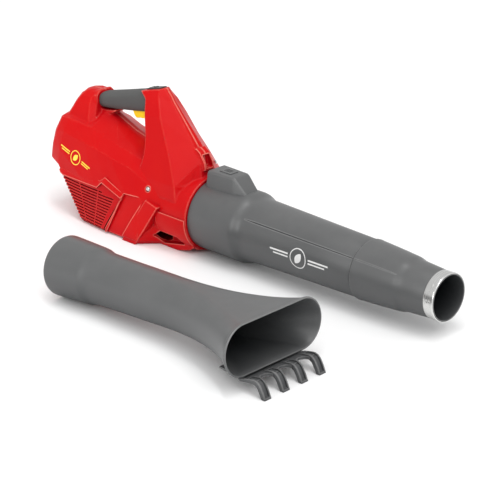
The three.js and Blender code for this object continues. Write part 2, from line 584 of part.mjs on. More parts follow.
// Stations of the flat nozzle's outside: x, width, height.
const FLAT_STATIONS = [
  [0, 98, 98], [10, 97, 97], [74, 88, 88], [90, 84, 84], [104, 83, 83], [235, 80, 80], [290, 86, 76], [335, 104, 72],
  [380, 134, 71], [418, 170, 74], [440, 200, 77.5], [MOUTH.x, MOUTH.wide, MOUTH.high],
];

function makeFlatNozzle() {
  const place = new THREE.Group();
  place.position.set(FLAT_AT[0], FLAT_AT[1], CUP_R * Math.cos(Math.PI / FLAT_SIDES));
  place.rotation.set(0, -FLAT_PITCH, FLAT_YAW, "ZYX");
  blower.add(place);
  const wall = 2 * MOUTH.wall;
  const outside = loft(FLAT_STATIONS.map(([x, wide, high]) => oval(x, wide, high)));
  const cavity = FLAT_STATIONS.map(([x, wide, high]) => oval(x, wide - wall, high - wall));
  const inside = loft([oval(-2, 98 - wall, 98 - wall), ...cavity, oval(MOUTH.x + 3, MOUTH.wide - wall, MOUTH.high - wall)]);
  part("flat_nozzle", outside.subtract(inside), grey, place);

  const under = -MOUTH.high / 2;
  const plate = slab([[388, under - 0.2], [MOUTH.x + 4, under - 3.6], [MOUTH.x + 4, under - 7], [386, under - 3.4]], 62);
  const keep = loft([[380, 134, 71], [418, 170, 74], [440, 200, 77.5], [450, 205, 79]]
    .map(([x, wide, high]) => oval(x, wide + 0.8, high + 0.8)));
  const tooth = (y) => {
    const line = [[MOUTH.x - 6, under - 6.8], [MOUTH.x + 4, under - 3.6], [MOUTH.x + 22, under - 1], [MOUTH.x + 31, under - 7],
      [MOUTH.x + 37, under - 18], [MOUTH.x + 40.5, under - 27.6], [MOUTH.x + 34, under - 27.3], [MOUTH.x + 29, under - 19],
      [MOUTH.x + 23, under - 9.5], [MOUTH.x + 18, under - 6.6]];
    return slab(line, 5, y);
  };
  const teeth = [-58, -19.4, 19.4, 58].map(tooth);
  const webs = slab([[MOUTH.x, under - 3.7], [MOUTH.x + 12, under - 2.8], [MOUTH.x + 12, under - 5.2], [MOUTH.x, under - 6.8]], 58);
  part("rake", biggest(union(plate, webs, ...teeth).subtract(keep)), grey, place);
  [-36, 36].forEach((y, i) => {
    const clip = bar("z", under - 7.4, under - 6.4, 4, [412, y], 10);
    part(`rake_rivet_${i + 1}`, clip, steel, place);
  });
}

makeHousing();
makeScrews();
makeGrille();
makeHandle();
makeTrigger();
makeDuct();
makeMotor();
makeFan();
makeBattery();
makeElectrics();
makeBlowTube();
makeNozzle();
makeFlatNozzle();

export default blower;
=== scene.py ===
import json
import math
import bpy
from mathutils import Matrix, Vector

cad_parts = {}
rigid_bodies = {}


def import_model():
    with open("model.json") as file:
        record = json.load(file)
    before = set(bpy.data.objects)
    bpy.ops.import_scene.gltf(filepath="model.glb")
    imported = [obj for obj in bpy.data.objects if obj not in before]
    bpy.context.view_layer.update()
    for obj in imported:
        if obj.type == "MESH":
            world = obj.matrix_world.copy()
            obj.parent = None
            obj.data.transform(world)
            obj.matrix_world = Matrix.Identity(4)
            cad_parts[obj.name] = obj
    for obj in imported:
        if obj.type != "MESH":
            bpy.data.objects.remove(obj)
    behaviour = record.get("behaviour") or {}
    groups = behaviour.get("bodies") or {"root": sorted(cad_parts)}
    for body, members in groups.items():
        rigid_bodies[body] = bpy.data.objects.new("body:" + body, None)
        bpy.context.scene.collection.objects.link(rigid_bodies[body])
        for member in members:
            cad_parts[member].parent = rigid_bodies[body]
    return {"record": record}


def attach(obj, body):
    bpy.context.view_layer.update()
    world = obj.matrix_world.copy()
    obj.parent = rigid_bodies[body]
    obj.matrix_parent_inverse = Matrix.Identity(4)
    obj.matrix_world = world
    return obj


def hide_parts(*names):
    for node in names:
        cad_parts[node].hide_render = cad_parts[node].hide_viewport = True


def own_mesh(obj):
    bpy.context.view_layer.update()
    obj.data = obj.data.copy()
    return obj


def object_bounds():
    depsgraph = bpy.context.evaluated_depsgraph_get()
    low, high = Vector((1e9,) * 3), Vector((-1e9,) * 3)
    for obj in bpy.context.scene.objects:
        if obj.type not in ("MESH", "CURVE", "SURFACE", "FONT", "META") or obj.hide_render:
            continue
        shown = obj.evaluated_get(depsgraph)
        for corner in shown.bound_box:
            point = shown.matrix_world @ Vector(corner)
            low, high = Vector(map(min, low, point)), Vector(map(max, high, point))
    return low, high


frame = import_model()        # the CAD model, already in place
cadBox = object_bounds()
mm = 0.001

# Camera: long lens, low from the front right.
cameraSet = {"azimuth": 44.706, "elevation": 21.948, "lens": 146.94, "place": (2.41008, -2.16018, 1.25338)}
cameraData = bpy.data.cameras.new("camera")
cameraData.lens = cameraSet["lens"]
cameraData.sensor_width = 36
cameraObject = bpy.data.objects.new("camera", cameraData)
bpy.context.scene.collection.objects.link(cameraObject)
turn = math.radians(cameraSet["azimuth"])
rise = math.radians(cameraSet["elevation"])
backward = Vector((math.sin(turn) * math.cos(rise), -math.cos(turn) * math.cos(rise), math.sin(rise)))
rightward = Vector((math.cos(turn), math.sin(turn), 0))
upward = backward.cross(rightward)
cameraObject.matrix_world = Matrix.Translation(cameraSet["place"]) @ Matrix(
    (rightward, upward, backward)).transposed().to_4x4()
bpy.context.scene.camera = cameraObject
print("camera set")


# Small tools.
def clearSelection():
    if bpy.context.mode != "OBJECT":
        bpy.ops.object.mode_set(mode="OBJECT")
    bpy.ops.object.select_all(action="DESELECT")


def pick(piece):
    clearSelection()
    piece.select_set(True)
    bpy.context.view_layer.objects.active = piece


def editAll(piece):
    pick(piece)
    bpy.ops.object.mode_set(mode="EDIT")
    bpy.ops.mesh.select_mode(type="VERT")
    bpy.ops.mesh.select_all(action="SELECT")


def faceOutwards(piece):
    editAll(piece)
    bpy.ops.mesh.remove_doubles(threshold=0.00001)
    bpy.ops.mesh.normals_make_consistent(inside=False)
    bpy.ops.object.mode_set(mode="OBJECT")


def settle(piece, name):
    pick(piece)
    bpy.ops.object.transform_apply(location=True, rotation=True, scale=True)
    piece.name = name
    piece.data.name = name
    return piece


# A closed skin over rings of points in mm. With hoop=True the last ring joins the first, for a walled tube.
def skinOver(name, rings, hoop=False):
    clearSelection()
    count = len(rings[0])
    bpy.ops.mesh.primitive_circle_add(vertices=count, radius=1, fill_type="NGON")
    piece = bpy.context.object
    bpy.ops.object.mode_set(mode="EDIT")
    bpy.ops.mesh.select_all(action="SELECT")
    for _ in rings[1:]:
        bpy.ops.mesh.extrude_region_move(TRANSFORM_OT_translate={"value": (0, 0, 1)})
    bpy.ops.object.mode_set(mode="OBJECT")
    for vertex in piece.data.vertices:
        step = round((math.atan2(vertex.co.y, vertex.co.x) - math.pi / 2) / (2 * math.pi / count)) % count
        vertex.co = Vector(rings[round(vertex.co.z)][step]) * mm
    if hoop:
        pick(piece)
        bpy.ops.object.mode_set(mode="EDIT")
        bpy.ops.mesh.select_mode(type="FACE")
        bpy.ops.mesh.select_all(action="DESELECT")
        bpy.ops.mesh.select_face_by_sides(number=4, type="GREATER")
        bpy.ops.mesh.delete(type="ONLY_FACE")
        bpy.ops.mesh.select_mode(type="EDGE")
        bpy.ops.mesh.select_non_manifold()
        bpy.ops.mesh.bridge_edge_loops()
        bpy.ops.object.mode_set(mode="OBJECT")
    faceOutwards(piece)
    return settle(piece, name)


# A closed outline of [along, radius] pairs spun right round a line along X.
def spunAbout(name, outline, steps, height=0.0):
    clearSelection()
    count = len(outline)
    bpy.ops.mesh.primitive_circle_add(vertices=count, radius=1, fill_type="NOTHING")
    piece = bpy.context.object
    for vertex in piece.data.vertices:
        step = round((math.atan2(vertex.co.y, vertex.co.x) - math.pi / 2) / (2 * math.pi / count)) % count
        along, radius = outline[step]
        vertex.co = Vector((along * mm, 0, radius * mm))
    editAll(piece)
    bpy.ops.mesh.spin(steps=steps, angle=2 * math.pi, center=(0, 0, 0), axis=(1, 0, 0))
    bpy.ops.object.mode_set(mode="OBJECT")
    faceOutwards(piece)
    piece.location.z = height * mm
    return settle(piece, name)


# An outline of [x, z] pairs, as thick as from y0 to y1.
def outlineBlock(name, outline, y0, y1):
    return skinOver(name, [[(x, y0, z) for x, z in outline], [(x, y1, z) for x, z in outline]])


def block(name, low, high):
    clearSelection()
    size = [(b - a) * mm for a, b in zip(low, high)]
    middle = [(a + b) / 2 * mm for a, b in zip(low, high)]
    bpy.ops.mesh.primitive_cube_add(size=1, location=middle, scale=size)
    return settle(bpy.context.object, name)


def rod(name, along, start, end, radius, middle, sides=32):
    clearSelection()
    turns = {"x": (0, math.pi / 2, 0), "y": (math.pi / 2, 0, 0), "z": (0, 0, 0)}
    place = {"x": ((start + end) / 2, *middle), "y": (middle[0], (start + end) / 2, middle[1]),
             "z": (*middle, (start + end) / 2)}[along]
    bpy.ops.mesh.primitive_cylinder_add(vertices=sides, radius=radius * mm, depth=(end - start) * mm,
                                        location=[v * mm for v in place], rotation=turns[along])
    return settle(bpy.context.object, name)


def applied(piece, kind, **values):
    pick(piece)
    modifier = piece.modifiers.new(kind.lower(), kind)
    for key, value in values.items():
        setattr(modifier, key, value)
    bpy.ops.object.modifier_apply(modifier=modifier.name)
    return piece


def combine(piece, others, how):
    for other in others:
        applied(piece, "BOOLEAN", operation=how, solver="EXACT", object=other)
        bpy.data.objects.remove(other, do_unlink=True)
    return piece


def rounded(piece, width, segments=3, angle=30):
    return applied(piece, "BEVEL", width=width * mm, segments=segments, limit_method="ANGLE",
                   angle_limit=math.radians(angle), harden_normals=False)


def smoothShaded(piece, angle=35):
    pick(piece)
    bpy.ops.object.shade_smooth_by_angle(angle=math.radians(angle), keep_sharp_edges=False)
    return piece


# Melts hard joins into moulded fillets.
def melted(piece, grain, passes):
    applied(piece, "REMESH", mode="VOXEL", voxel_size=grain * mm, adaptivity=0)
    applied(piece, "SMOOTH", factor=0.5, iterations=passes)
    return piece


def copyOf(piece, name):
    pick(piece)
    bpy.ops.object.duplicate()
    twin = bpy.context.object
    twin.name = name
    twin.data.name = name
    return twin


def mirroredHalf(half):
    return half + [(-y, z) for y, z in reversed(half[1:-1])]


print("tools ready")


# Shader groups.
def newGroup(name, inputs, outputs):
    group = bpy.data.node_groups.new(name, "ShaderNodeTree")
    for label, kind, value in inputs:
        socket = group.interface.new_socket(label, in_out="INPUT", socket_type=kind)
        socket.default_value = value
    for label, kind in outputs:
        group.interface.new_socket(label, in_out="OUTPUT", socket_type=kind)
    return group, group.nodes.new("NodeGroupInput"), group.nodes.new("NodeGroupOutput")


def link(tree, a, b):
    tree.links.new(a, b)


def maths(tree, operation, first, second=None):
    node = tree.nodes.new("ShaderNodeMath")
    node.operation = operation
    for socket, value in ((node.inputs[0], first), (node.inputs[1], second)):
        if value is None:
            continue
        if isinstance(value, (int, float)):
            socket.default_value = value
        else:
            link(tree, value, socket)
    return node.outputs[0]


# Fine grain of a moulded surface and the slow mottle of its tint.
def makeGrainGroup():
    group, given, put = newGroup("mouldGrain", [("Grain scale", "NodeSocketFloat", 1800.0),
                                                ("Mottle scale", "NodeSocketFloat", 22.0)],
                                 [("Grain", "NodeSocketFloat"), ("Mottle", "NodeSocketFloat")])
    place = group.nodes.new("ShaderNodeTexCoord")
    grain = group.nodes.new("ShaderNodeTexNoise")
    grain.inputs["Detail"].default_value = 2
    mottle = group.nodes.new("ShaderNodeTexNoise")
    mottle.inputs["Detail"].default_value = 3
    for noise, label in ((grain, "Grain scale"), (mottle, "Mottle scale")):
        link(group, place.outputs["Object"], noise.inputs["Vector"])
        link(group, given.outputs[label], noise.inputs["Scale"])
    link(group, grain.outputs["Fac"], put.inputs["Grain"])
    link(group, mottle.outputs["Fac"], put.inputs["Mottle"])
    return group


# Painted highlight along edges: a pale tint where the solid just under the surface is thin, as it is along a
# ridge.
def makeEdgeGlintGroup():
    inputs = [("Start", "NodeSocketFloat", 0.03), ("End", "NodeSocketFloat", 0.12)]
    group, given, put = newGroup("paintedEdgeGlint", inputs, [("Mask", "NodeSocketFloat")])
    under = group.nodes.new("ShaderNodeAmbientOcclusion")
    under.samples = 8
    under.inside = True
    under.only_local = True
    under.inputs["Distance"].default_value = 0.0016
    ramp = group.nodes.new("ShaderNodeMapRange")
    link(group, maths(group, "SUBTRACT", 1.0, under.outputs["AO"]), ramp.inputs["Value"])
    link(group, given.outputs["Start"], ramp.inputs["From Min"])
    link(group, given.outputs["End"], ramp.inputs["From Max"])
    openAir = group.nodes.new("ShaderNodeAmbientOcclusion")
    openAir.samples = 4
    openAir.inputs["Distance"].default_value = 0.004
    breakup = group.nodes.new("ShaderNodeTexNoise")
    breakup.inputs["Scale"].default_value = 140
    place = group.nodes.new("ShaderNodeTexCoord")
    link(group, place.outputs["Object"], breakup.inputs["Vector"])
    patchy = maths(group, "ADD", maths(group, "MULTIPLY", breakup.outputs["Fac"], 0.6), 0.5)
    outside = maths(group, "POWER", openAir.outputs["AO"], 4.0)
    glinting = maths(group, "MULTIPLY", ramp.outputs["Result"], patchy)
    link(group, maths(group, "MULTIPLY", glinting, outside), put.inputs["Mask"])
    return group


# Thin dust that lies on what faces up.
def makeDustGroup():
    inputs = [("Amount", "NodeSocketFloat", 0.1)]
    group, given, put = newGroup("dustFall", inputs, [("Mask", "NodeSocketFloat")])
    shape = group.nodes.new("ShaderNodeNewGeometry")
    split = group.nodes.new("ShaderNodeSeparateXYZ")
    link(group, shape.outputs["Normal"], split.inputs[0])
    up = maths(group, "MAXIMUM", split.outputs["Z"], 0.0)
    cloud = group.nodes.new("ShaderNodeTexNoise")
    cloud.inputs["Scale"].default_value = 60
    cloud.inputs["Detail"].default_value = 6
    place = group.nodes.new("ShaderNodeTexCoord")
    link(group, place.outputs["Object"], cloud.inputs["Vector"])
    dusty = maths(group, "MULTIPLY", up, cloud.outputs["Fac"])
    link(group, maths(group, "MULTIPLY", dusty, given.outputs["Amount"]), put.inputs["Mask"])
    return group


# Painted shade in hollows: how closed in the surface is, used to darken the tint there.
def makePaintedShadeGroup():
    inputs = [("Reach", "NodeSocketFloat", 0.05)]
    group, given, put = newGroup("paintedHollowShade", inputs, [("Mask", "NodeSocketFloat")])
    around = group.nodes.new("ShaderNodeAmbientOcclusion")
    around.samples = 8
    link(group, given.outputs["Reach"], around.inputs["Distance"])
    link(group, maths(group, "SUBTRACT", 1.0, around.outputs["AO"]), put.inputs["Mask"])
    return group


grainGroup = makeGrainGroup()
paintedShadeGroup = makePaintedShadeGroup()
edgeGlintGroup = makeEdgeGlintGroup()
dustGroup = makeDustGroup()


def useGroup(tree, group, **values):
    node = tree.nodes.new("ShaderNodeGroup")
    node.node_tree = group
    for key, value in values.items():
        node.inputs[key.replace("_", " ")].default_value = value
    return node


def blendColour(tree, factor, first, second):
    node = tree.nodes.new("ShaderNodeMix")
    node.data_type = "RGBA"
    link(tree, factor, node.inputs[0])
    for socket, value in ((node.inputs[6], first), (node.inputs[7], second)):
        if isinstance(value, tuple):
            socket.default_value = (*value, 1)
        else:
            link(tree, value, socket)
    return node.outputs[2]


def spread(tree, value, low, high):
    node = tree.nodes.new("ShaderNodeMapRange")
    link(tree, value, node.inputs["Value"])
    node.inputs["From Min"].default_value = 0.3
    node.inputs["From Max"].default_value = 0.7
    node.inputs["To Min"].default_value = low
    node.inputs["To Max"].default_value = high
    return node.outputs["Result"]


# A moulded plastic: two close tints, a fine grain, a painted highlight along its edges, painted shade in its
# hollows and a trace of dust.
def plastic(name, look):
    material = bpy.data.materials.new(name)
    material.use_nodes = True
    tree = material.node_tree
    shader = tree.nodes["Principled BSDF"]
    shader.inputs["IOR"].default_value = 1.5
    shader.inputs["Specular IOR Level"].default_value = look.get("specular", 0.3)
    shader.inputs["Coat Weight"].default_value = look.get("coat", 0.0)
    shader.inputs["Coat Roughness"].default_value = look.get("coatRoughness", 0.1)
    grain = useGroup(tree, grainGroup, Grain_scale=look["grainScale"], Mottle_scale=look["mottleScale"])
    tint = blendColour(tree, grain.outputs["Mottle"], look["dark"], look["light"])
    # painted highlight: a pale tint laid along thin edges and ridges
    edgeGlint = useGroup(tree, edgeGlintGroup, Start=0.03, End=0.12)
    tint = blendColour(tree, maths(tree, "MULTIPLY", edgeGlint.outputs["Mask"], look["edgeGlint"]), tint, look["glintTint"])
    dust = useGroup(tree, dustGroup, Amount=look["dust"])
    tint = blendColour(tree, dust.outputs["Mask"], tint, (0.62, 0.6, 0.57))
    # painted shade: the tint darkens towards the deep colour where the surface is closed in
    hollow = useGroup(tree, paintedShadeGroup, Reach=look.get("shadeReach", 0.05))
    shade = maths(tree, "MULTIPLY", hollow.outputs["Mask"], look.get("hollow", 0.0))
    tint = blendColour(tree, shade, tint, look["shadeTint"])
    link(tree, tint, shader.inputs["Base Color"])
    link(tree, spread(tree, grain.outputs["Mottle"], *look["rough"]), shader.inputs["Roughness"])
    bump = tree.nodes.new("ShaderNodeBump")
    bump.inputs["Strength"].default_value = look["bump"]
    bump.inputs["Distance"].default_value = look["depth"]
    link(tree, grain.outputs["Grain"], bump.inputs["Height"])
    link(tree, bump.outputs["Normal"], shader.inputs["Normal"])
    return material


# Metal with fine lines left by turning or rolling, stretched along the axes that stretch names.
def metal(name, look):
    material = bpy.data.materials.new(name)
    material.use_nodes = True
    tree = material.node_tree
    shader = tree.nodes["Principled BSDF"]
    shader.inputs["Metallic"].default_value = 1
    place = tree.nodes.new("ShaderNodeTexCoord")
    mapping = tree.nodes.new("ShaderNodeMapping")
    mapping.inputs["Scale"].default_value = look["stretch"]
    link(tree, place.outputs["Object"], mapping.inputs["Vector"])
    lines = tree.nodes.new("ShaderNodeTexNoise")
    lines.inputs["Scale"].default_value = look["scale"]
    lines.inputs["Detail"].default_value = 4
    link(tree, mapping.outputs["Vector"], lines.inputs["Vector"])
    grain = useGroup(tree, grainGroup, Grain_scale=900.0, Mottle_scale=30.0)
    tint = blendColour(tree, grain.outputs["Mottle"], look["dark"], look["light"])
    link(tree, tint, shader.inputs["Base Color"])
    link(tree, spread(tree, lines.outputs["Fac"], *look["rough"]), shader.inputs["Roughness"])
    bump = tree.nodes.new("ShaderNodeBump")
    bump.inputs["Strength"].default_value = look["bump"]
    bump.inputs["Distance"].default_value = 0.0002
    link(tree, lines.outputs["Fac"], bump.inputs["Height"])
    link(tree, bump.outputs["Normal"], shader.inputs["Normal"])
    return material


# In each look, the pale edge tint and its amount paint a highlight along edges, and the deep tint paints shade
# in hollows.
redGloss = plastic("redGloss", {
    "dark": (0.50, 0.001, 0.004), "light": (0.56, 0.004, 0.003), "glintTint": (1.0, 0.38, 0.29), "edgeGlint": 0.5,
    "dust": 0.01, "rough": (0.30, 0.38), "bump": 0.03, "depth": 0.0003, "grainScale": 900.0,
    "mottleScale": 14.0, "specular": 0.05, "coat": 0.11, "coatRoughness": 0.04, "shadeTint": (0.30, 0.0, 0.007),
    "hollow": 0.9, "shadeReach": 0.03})
redMatt = plastic("redMatt", {
    "dark": (0.44, 0.001, 0.005), "light": (0.50, 0.004, 0.006), "glintTint": (0.9, 0.2, 0.15), "edgeGlint": 0.12,
    "dust": 0.02, "rough": (0.40, 0.50), "bump": 0.06, "depth": 0.0003, "grainScale": 900.0,
    "mottleScale": 14.0, "specular": 0.08, "shadeTint": (0.14, 0.0, 0.004), "hollow": 0.9, "shadeReach": 0.006})
tubeGrey = plastic("tubeGrey", {
    "dark": (0.078, 0.08, 0.081), "light": (0.098, 0.100, 0.101), "glintTint": (0.24, 0.24, 0.24), "edgeGlint": 0.6,
    "dust": 0.04, "rough": (0.32, 0.42), "bump": 0.12, "depth": 0.0003, "grainScale": 1500.0,
    "mottleScale": 12.0, "specular": 0.5, "shadeTint": (0.004, 0.006, 0.008), "hollow": 1.15,
    "shadeReach": 0.09})
rakeGrey = plastic("rakeGrey", {
    "dark": (0.065, 0.067, 0.07), "light": (0.085, 0.087, 0.09), "glintTint": (0.2, 0.2, 0.2), "edgeGlint": 0.7,
    "dust": 0.05, "rough": (0.34, 0.46), "bump": 0.15, "depth": 0.0003, "grainScale": 1500.0,
    "mottleScale": 30.0, "specular": 0.4, "shadeTint": (0.008, 0.009, 0.01), "hollow": 0.9, "shadeReach": 0.03})
gripSoft = plastic("gripSoft", {
    "dark": (0.07, 0.071, 0.07), "light": (0.09, 0.09, 0.089), "glintTint": (0.14, 0.14, 0.14), "edgeGlint": 0.4,
    "dust": 0.04, "rough": (0.62, 0.75), "bump": 0.4, "depth": 0.0005, "grainScale": 1100.0,
    "mottleScale": 30.0, "specular": 0.2, "shadeTint": (0.01, 0.01, 0.01), "hollow": 0.6, "shadeReach": 0.02})
yellowGloss = plastic("yellowGloss", {
    "dark": (0.95, 0.62, 0.0), "light": (1.0, 0.70, 0.0), "glintTint": (1.0, 0.8, 0.3), "edgeGlint": 0.3,
    "dust": 0.02, "rough": (0.3, 0.4), "bump": 0.05, "depth": 0.0003, "grainScale": 900.0,
    "mottleScale": 30.0, "specular": 0.15, "coat": 0.2, "shadeTint": (0.7, 0.35, 0.0), "hollow": 0.8,
    "shadeReach": 0.02})
whiteInk = plastic("whiteInk", {
    "dark": (0.72, 0.72, 0.71), "light": (0.82, 0.82, 0.81), "glintTint": (0.6, 0.6, 0.6), "edgeGlint": 0.3,
    "dust": 0.05, "rough": (0.45, 0.55), "bump": 0.05, "depth": 0.0002, "grainScale": 1500.0,
    "mottleScale": 60.0, "shadeTint": (0.4, 0.4, 0.4)})
blackNylon = plastic("blackNylon", {
    "dark": (0.018, 0.019, 0.02), "light": (0.028, 0.029, 0.03), "glintTint": (0.1, 0.1, 0.1), "edgeGlint": 0.4,
    "dust": 0.05, "rough": (0.45, 0.6), "bump": 0.2, "depth": 0.0003, "grainScale": 1500.0,
    "mottleScale": 30.0, "shadeTint": (0.004, 0.004, 0.005)})
boardGreen = plastic("boardGreen", {
    "dark": (0.01, 0.07, 0.03), "light": (0.02, 0.1, 0.045), "glintTint": (0.3, 0.25, 0.1), "edgeGlint": 0.4,
    "dust": 0.05, "rough": (0.3, 0.45), "bump": 0.1, "depth": 0.0002, "grainScale": 500.0,
    "mottleScale": 60.0, "shadeTint": (0.0, 0.02, 0.01)})
leadRed = plastic("leadRed", {
    "dark": (0.45, 0.01, 0.01), "light": (0.55, 0.02, 0.015), "glintTint": (0.6, 0.1, 0.1), "edgeGlint": 0.2,
    "dust": 0.05, "rough": (0.45, 0.55), "bump": 0.1, "depth": 0.0002, "grainScale": 1500.0,
    "mottleScale": 60.0, "shadeTint": (0.2, 0.0, 0.0)})
leadBlack = plastic("leadBlack", {
    "dark": (0.012, 0.012, 0.012), "light": (0.02, 0.02, 0.02), "glintTint": (0.06, 0.06, 0.06), "edgeGlint": 0.2,
    "dust": 0.05, "rough": (0.55, 0.7), "bump": 0.1, "depth": 0.0002, "grainScale": 1500.0,
    "mottleScale": 60.0, "shadeTint": (0.004, 0.004, 0.004)})
steel = metal("steel", {
    "dark": (0.62, 0.62, 0.61), "light": (0.74, 0.74, 0.73), "rough": (0.2, 0.34), "bump": 0.2,
    "stretch": (1.0, 0.02, 0.02), "scale": 1600.0})
alloy = metal("alloy", {
    "dark": (0.55, 0.56, 0.58), "light": (0.66, 0.67, 0.69), "rough": (0.3, 0.45), "bump": 0.2,
    "stretch": (0.05, 1.0, 1.0), "scale": 900.0})
windings = metal("windings", {
    "dark": (0.42, 0.16, 0.06), "light": (0.62, 0.26, 0.1), "rough": (0.3, 0.5), "bump": 0.8,
    "stretch": (0.02, 1.0, 1.0), "scale": 900.0})
print("finishes ready")

# Finishes on the CAD parts that stay.
finishBySlot = {"red_shell": redGloss, "tube_grey": tubeGrey, "rake_grey": rakeGrey, "grip_dark": gripSoft,
                "accent_yellow": yellowGloss, "black_plastic": blackNylon, "steel": steel, "heatsink": alloy,
                "copper": windings, "board_green": boardGreen, "lead_red": leadRed, "rubber_black": leadBlack}
for entry in frame["record"]["subparts"]:
    part = bpy.data.objects[entry["node"]]
    for space in part.material_slots:
        space.material = finishBySlot[entry["material_slot"]]
print("CAD parts finished")

# Red housing.
# Sections of the body: place along X where the lean starts, how far the top leans forward, and the half outline
# from the floor side up, in mm.
bodySections = [
    (-152, 22, [(0, 92), (44, 92), (53, 98), (54, 118), (52, 145), (42, 168), (8, 176), (0, 177)]),
    (-143, 20, [(0, 87), (50, 87), (60, 94), (61, 118), (57, 147), (47, 170), (10, 182), (0, 183)]),
    (-118, 14, [(0, 80), (56, 80), (66, 88), (66, 118), (60, 149), (48, 171), (10, 185), (0, 186)]),
    (-53, 3, [(0, 0), (65, 0), (72, 8), (72, 84), (62, 142), (45, 166), (10, 188), (0, 189)]),
    (-22, 0, [(0, 0), (68, 0), (76, 8), (73, 84), (62, 138), (44, 157), (9, 178), (0, 179)]),
    (12, 0, [(0, 0), (71, 0), (79, 8), (73, 84), (62, 132), (44, 150), (8, 165), (0, 166)]),
    (60, 0, [(0, 0), (72, 0), (80, 8), (72, 84), (60, 124), (44, 141), (8, 153), (0, 154)]),
    (92, 0, [(0, 0), (72, 0), (80, 8), (70, 82), (60, 112), (42, 135), (8, 150), (0, 151)]),
    (118, 0, [(0, 0), (44, 0), (51, 6), (66, 78), (60, 98), (42, 119), (8, 134), (0, 135)]),
    (140, 0, [(0, 2), (36, 4), (42, 10), (63, 66), (60, 84), (40, 113), (8, 126), (0, 127)]),
]
lean = {"from": 90, "over": 88}
# Handle pillar: height, rear, ridge, nose, half width of the side, half width of the nose.
pillarSections = [
    (92, 74, 170, 192, 60, 26), (115, 76, 163, 194, 56, 22), (150, 80, 144, 182, 46, 16),
    (178, 76, 126, 160, 38, 11), (214, 66, 105, 128, 30, 8), (236, 60, 94, 108, 22, 7),
    (246, 44, 87, 101, 17, 7), (252, 42, 85, 95, 13, 7), (262, 42, 80, 87, 10, 6)]
pillarTop = {"x": 46, "z": 246.5, "slope": 0.25}
# Rear support of the handle: height, rear, front, half width.
humpSections = [
    (160, -134, -52, 44), (178, -124, -58, 38), (197, -115, -63, 31), (211, -107, -64, 24),
    (218, -100, -66, 17), (220.5, -94, -72, 12)]


def bodySkin(name, inset=0.0):
    rings = []
    for i, (x, forward, half) in enumerate(bodySections):
        move = inset if i == 0 else -inset if i == len(bodySections) - 1 else 0
        drawn = [(max(y - inset, 0), z + inset if z < 100 and z < half[3][1] else z - inset) for y, z in half]
        rings.append([(x + move + forward * (z - lean["from"]) / lean["over"], y, z)
                      for y, z in mirroredHalf(drawn)])
    return skinOver(name, rings)


# The pillar's top climbs towards the nose.
def topHeight(x):
    return pillarTop["z"] + (x - pillarTop["x"]) * pillarTop["slope"]


def pillarSkin(name, inset=0.0):
    rings = []
    for z, rear, ridge, nose, side, tip in pillarSections:
        half = [(0, rear - 6 + inset), (max(side - 14 - inset, 0.1), rear - 5 + inset),
                (side - inset, rear + inset), (side - inset, ridge - inset / 2),
                (max(tip - inset / 2, 0.4), nose - 3 - inset), (max(tip - 3 - inset / 2, 0.3), nose - inset),
                (0, nose - inset)]
        rings.append([(x, y, z - (inset if z == pillarSections[-1][0] else 0)) for y, x in mirroredHalf(half)])
    above = [(0, topHeight(0) - inset), (0, 300), (150, 300), (150, topHeight(150) - inset)]
    return combine(skinOver(name, rings), [outlineBlock("above", above, -90, 90)], "DIFFERENCE")


def humpSkin(name, inset=0.0):
    rings = []
    for z, rear, front, side in humpSections:
        r, f, s = rear + inset, front - inset, side - inset
        half = [(0, r), (s - 9, r), (s, r + 9), (s, f - 9), (s - 9, f), (0, f)]
        rings.append([(x, y, z - (inset if z == humpSections[-1][0] else 0)) for y, x in mirroredHalf(half)])
    return skinOver(name, rings)


def handleHeight(x):
    return 206.5 + (x + 60) * 0.214


# A length of the handle, eight-sided, from (x, half width, half height) stations.
def handleSkin(name, stations):
    rings = []
    for x, wide, high in stations:
        z, c = handleHeight(x), min(wide, high) * 0.45
        half = [(0, -high), (wide - c, -high), (wide, c - high), (wide, high - c), (wide - c, high), (0, high)]
        rings.append([(x, y, z + rise) for y, rise in mirroredHalf(half)])
    return skinOver(name, rings)


# Gives a finished piece its paint, its place in the machine and the CAD parts it stands for.
def hand(piece, paint, body, nodes=(), angle=40):
    piece.data.materials.clear()
    piece.data.materials.append(paint)
    smoothShaded(piece, angle)
    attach(piece, body)
    if nodes:
        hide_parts(*nodes)
    return piece


housingSet = {"grain": 1.5, "melt": 4, "seam": 0.35, "ductRadius": 56.4, "panelBevel": 1.6, "ledge": 4.0,
              "bodyWall": 4.2, "pillarWall": 5.5, "screwSeat": 4.7}
bayRoom = ((-175, -42, 93), (6, 42, 150))
triggerCut = [
    ((-2, -7.2, 185), (56, 7.2, 219)), ((7, -7.2, 216), (30, 7.2, 223.5)),
    ((26, -7.2, 216), (65.2, 7.2, 234))]
footOutline = [(104, 0), (160, 0), (186, 7), (196.5, 14), (196.5, 34), (104, 40)]
sunkOutline = [(58, 81), (104, 83), (52, -3), (16, -3)]
hoodOutline = [(160, 171), (169, 173), (178, 168), (189, 152), (192, 139), (165, 139)]
pocketOutline = [(113, 18), (127, 30), (170, 29), (177, 15), (128, 5)]
grilleOutline = [(-170, 88), (-100, 74), (-7, 76), (6, 88), (53, 72), (6, -6), (-120, -6)]
ledgeOutline = [(-116, 80), (-108, 85), (-1, 89), (11, 98.5), (57, 80), (14, 2), (-50, 2)]
ledgeInner = [(-108, 75), (-101, 75.5), (-6, 78), (6, 89.5), (54, 73.5), (14, 3), (-50, 3)]
ribOutline = [(54.5, 77), (58, 79), (18.5, 3), (14.5, 3)]
raisedOutline = [(109, 83), (138, 76), (90, -0.2), (57, -0.2)]
recessOutline = [(200, 143), (185, 164), (177, 163), (180, 143)]
humpRecessOutline = [(-150, 202), (-114, 198), (-101, 209), (-97, 232), (-150, 232)]
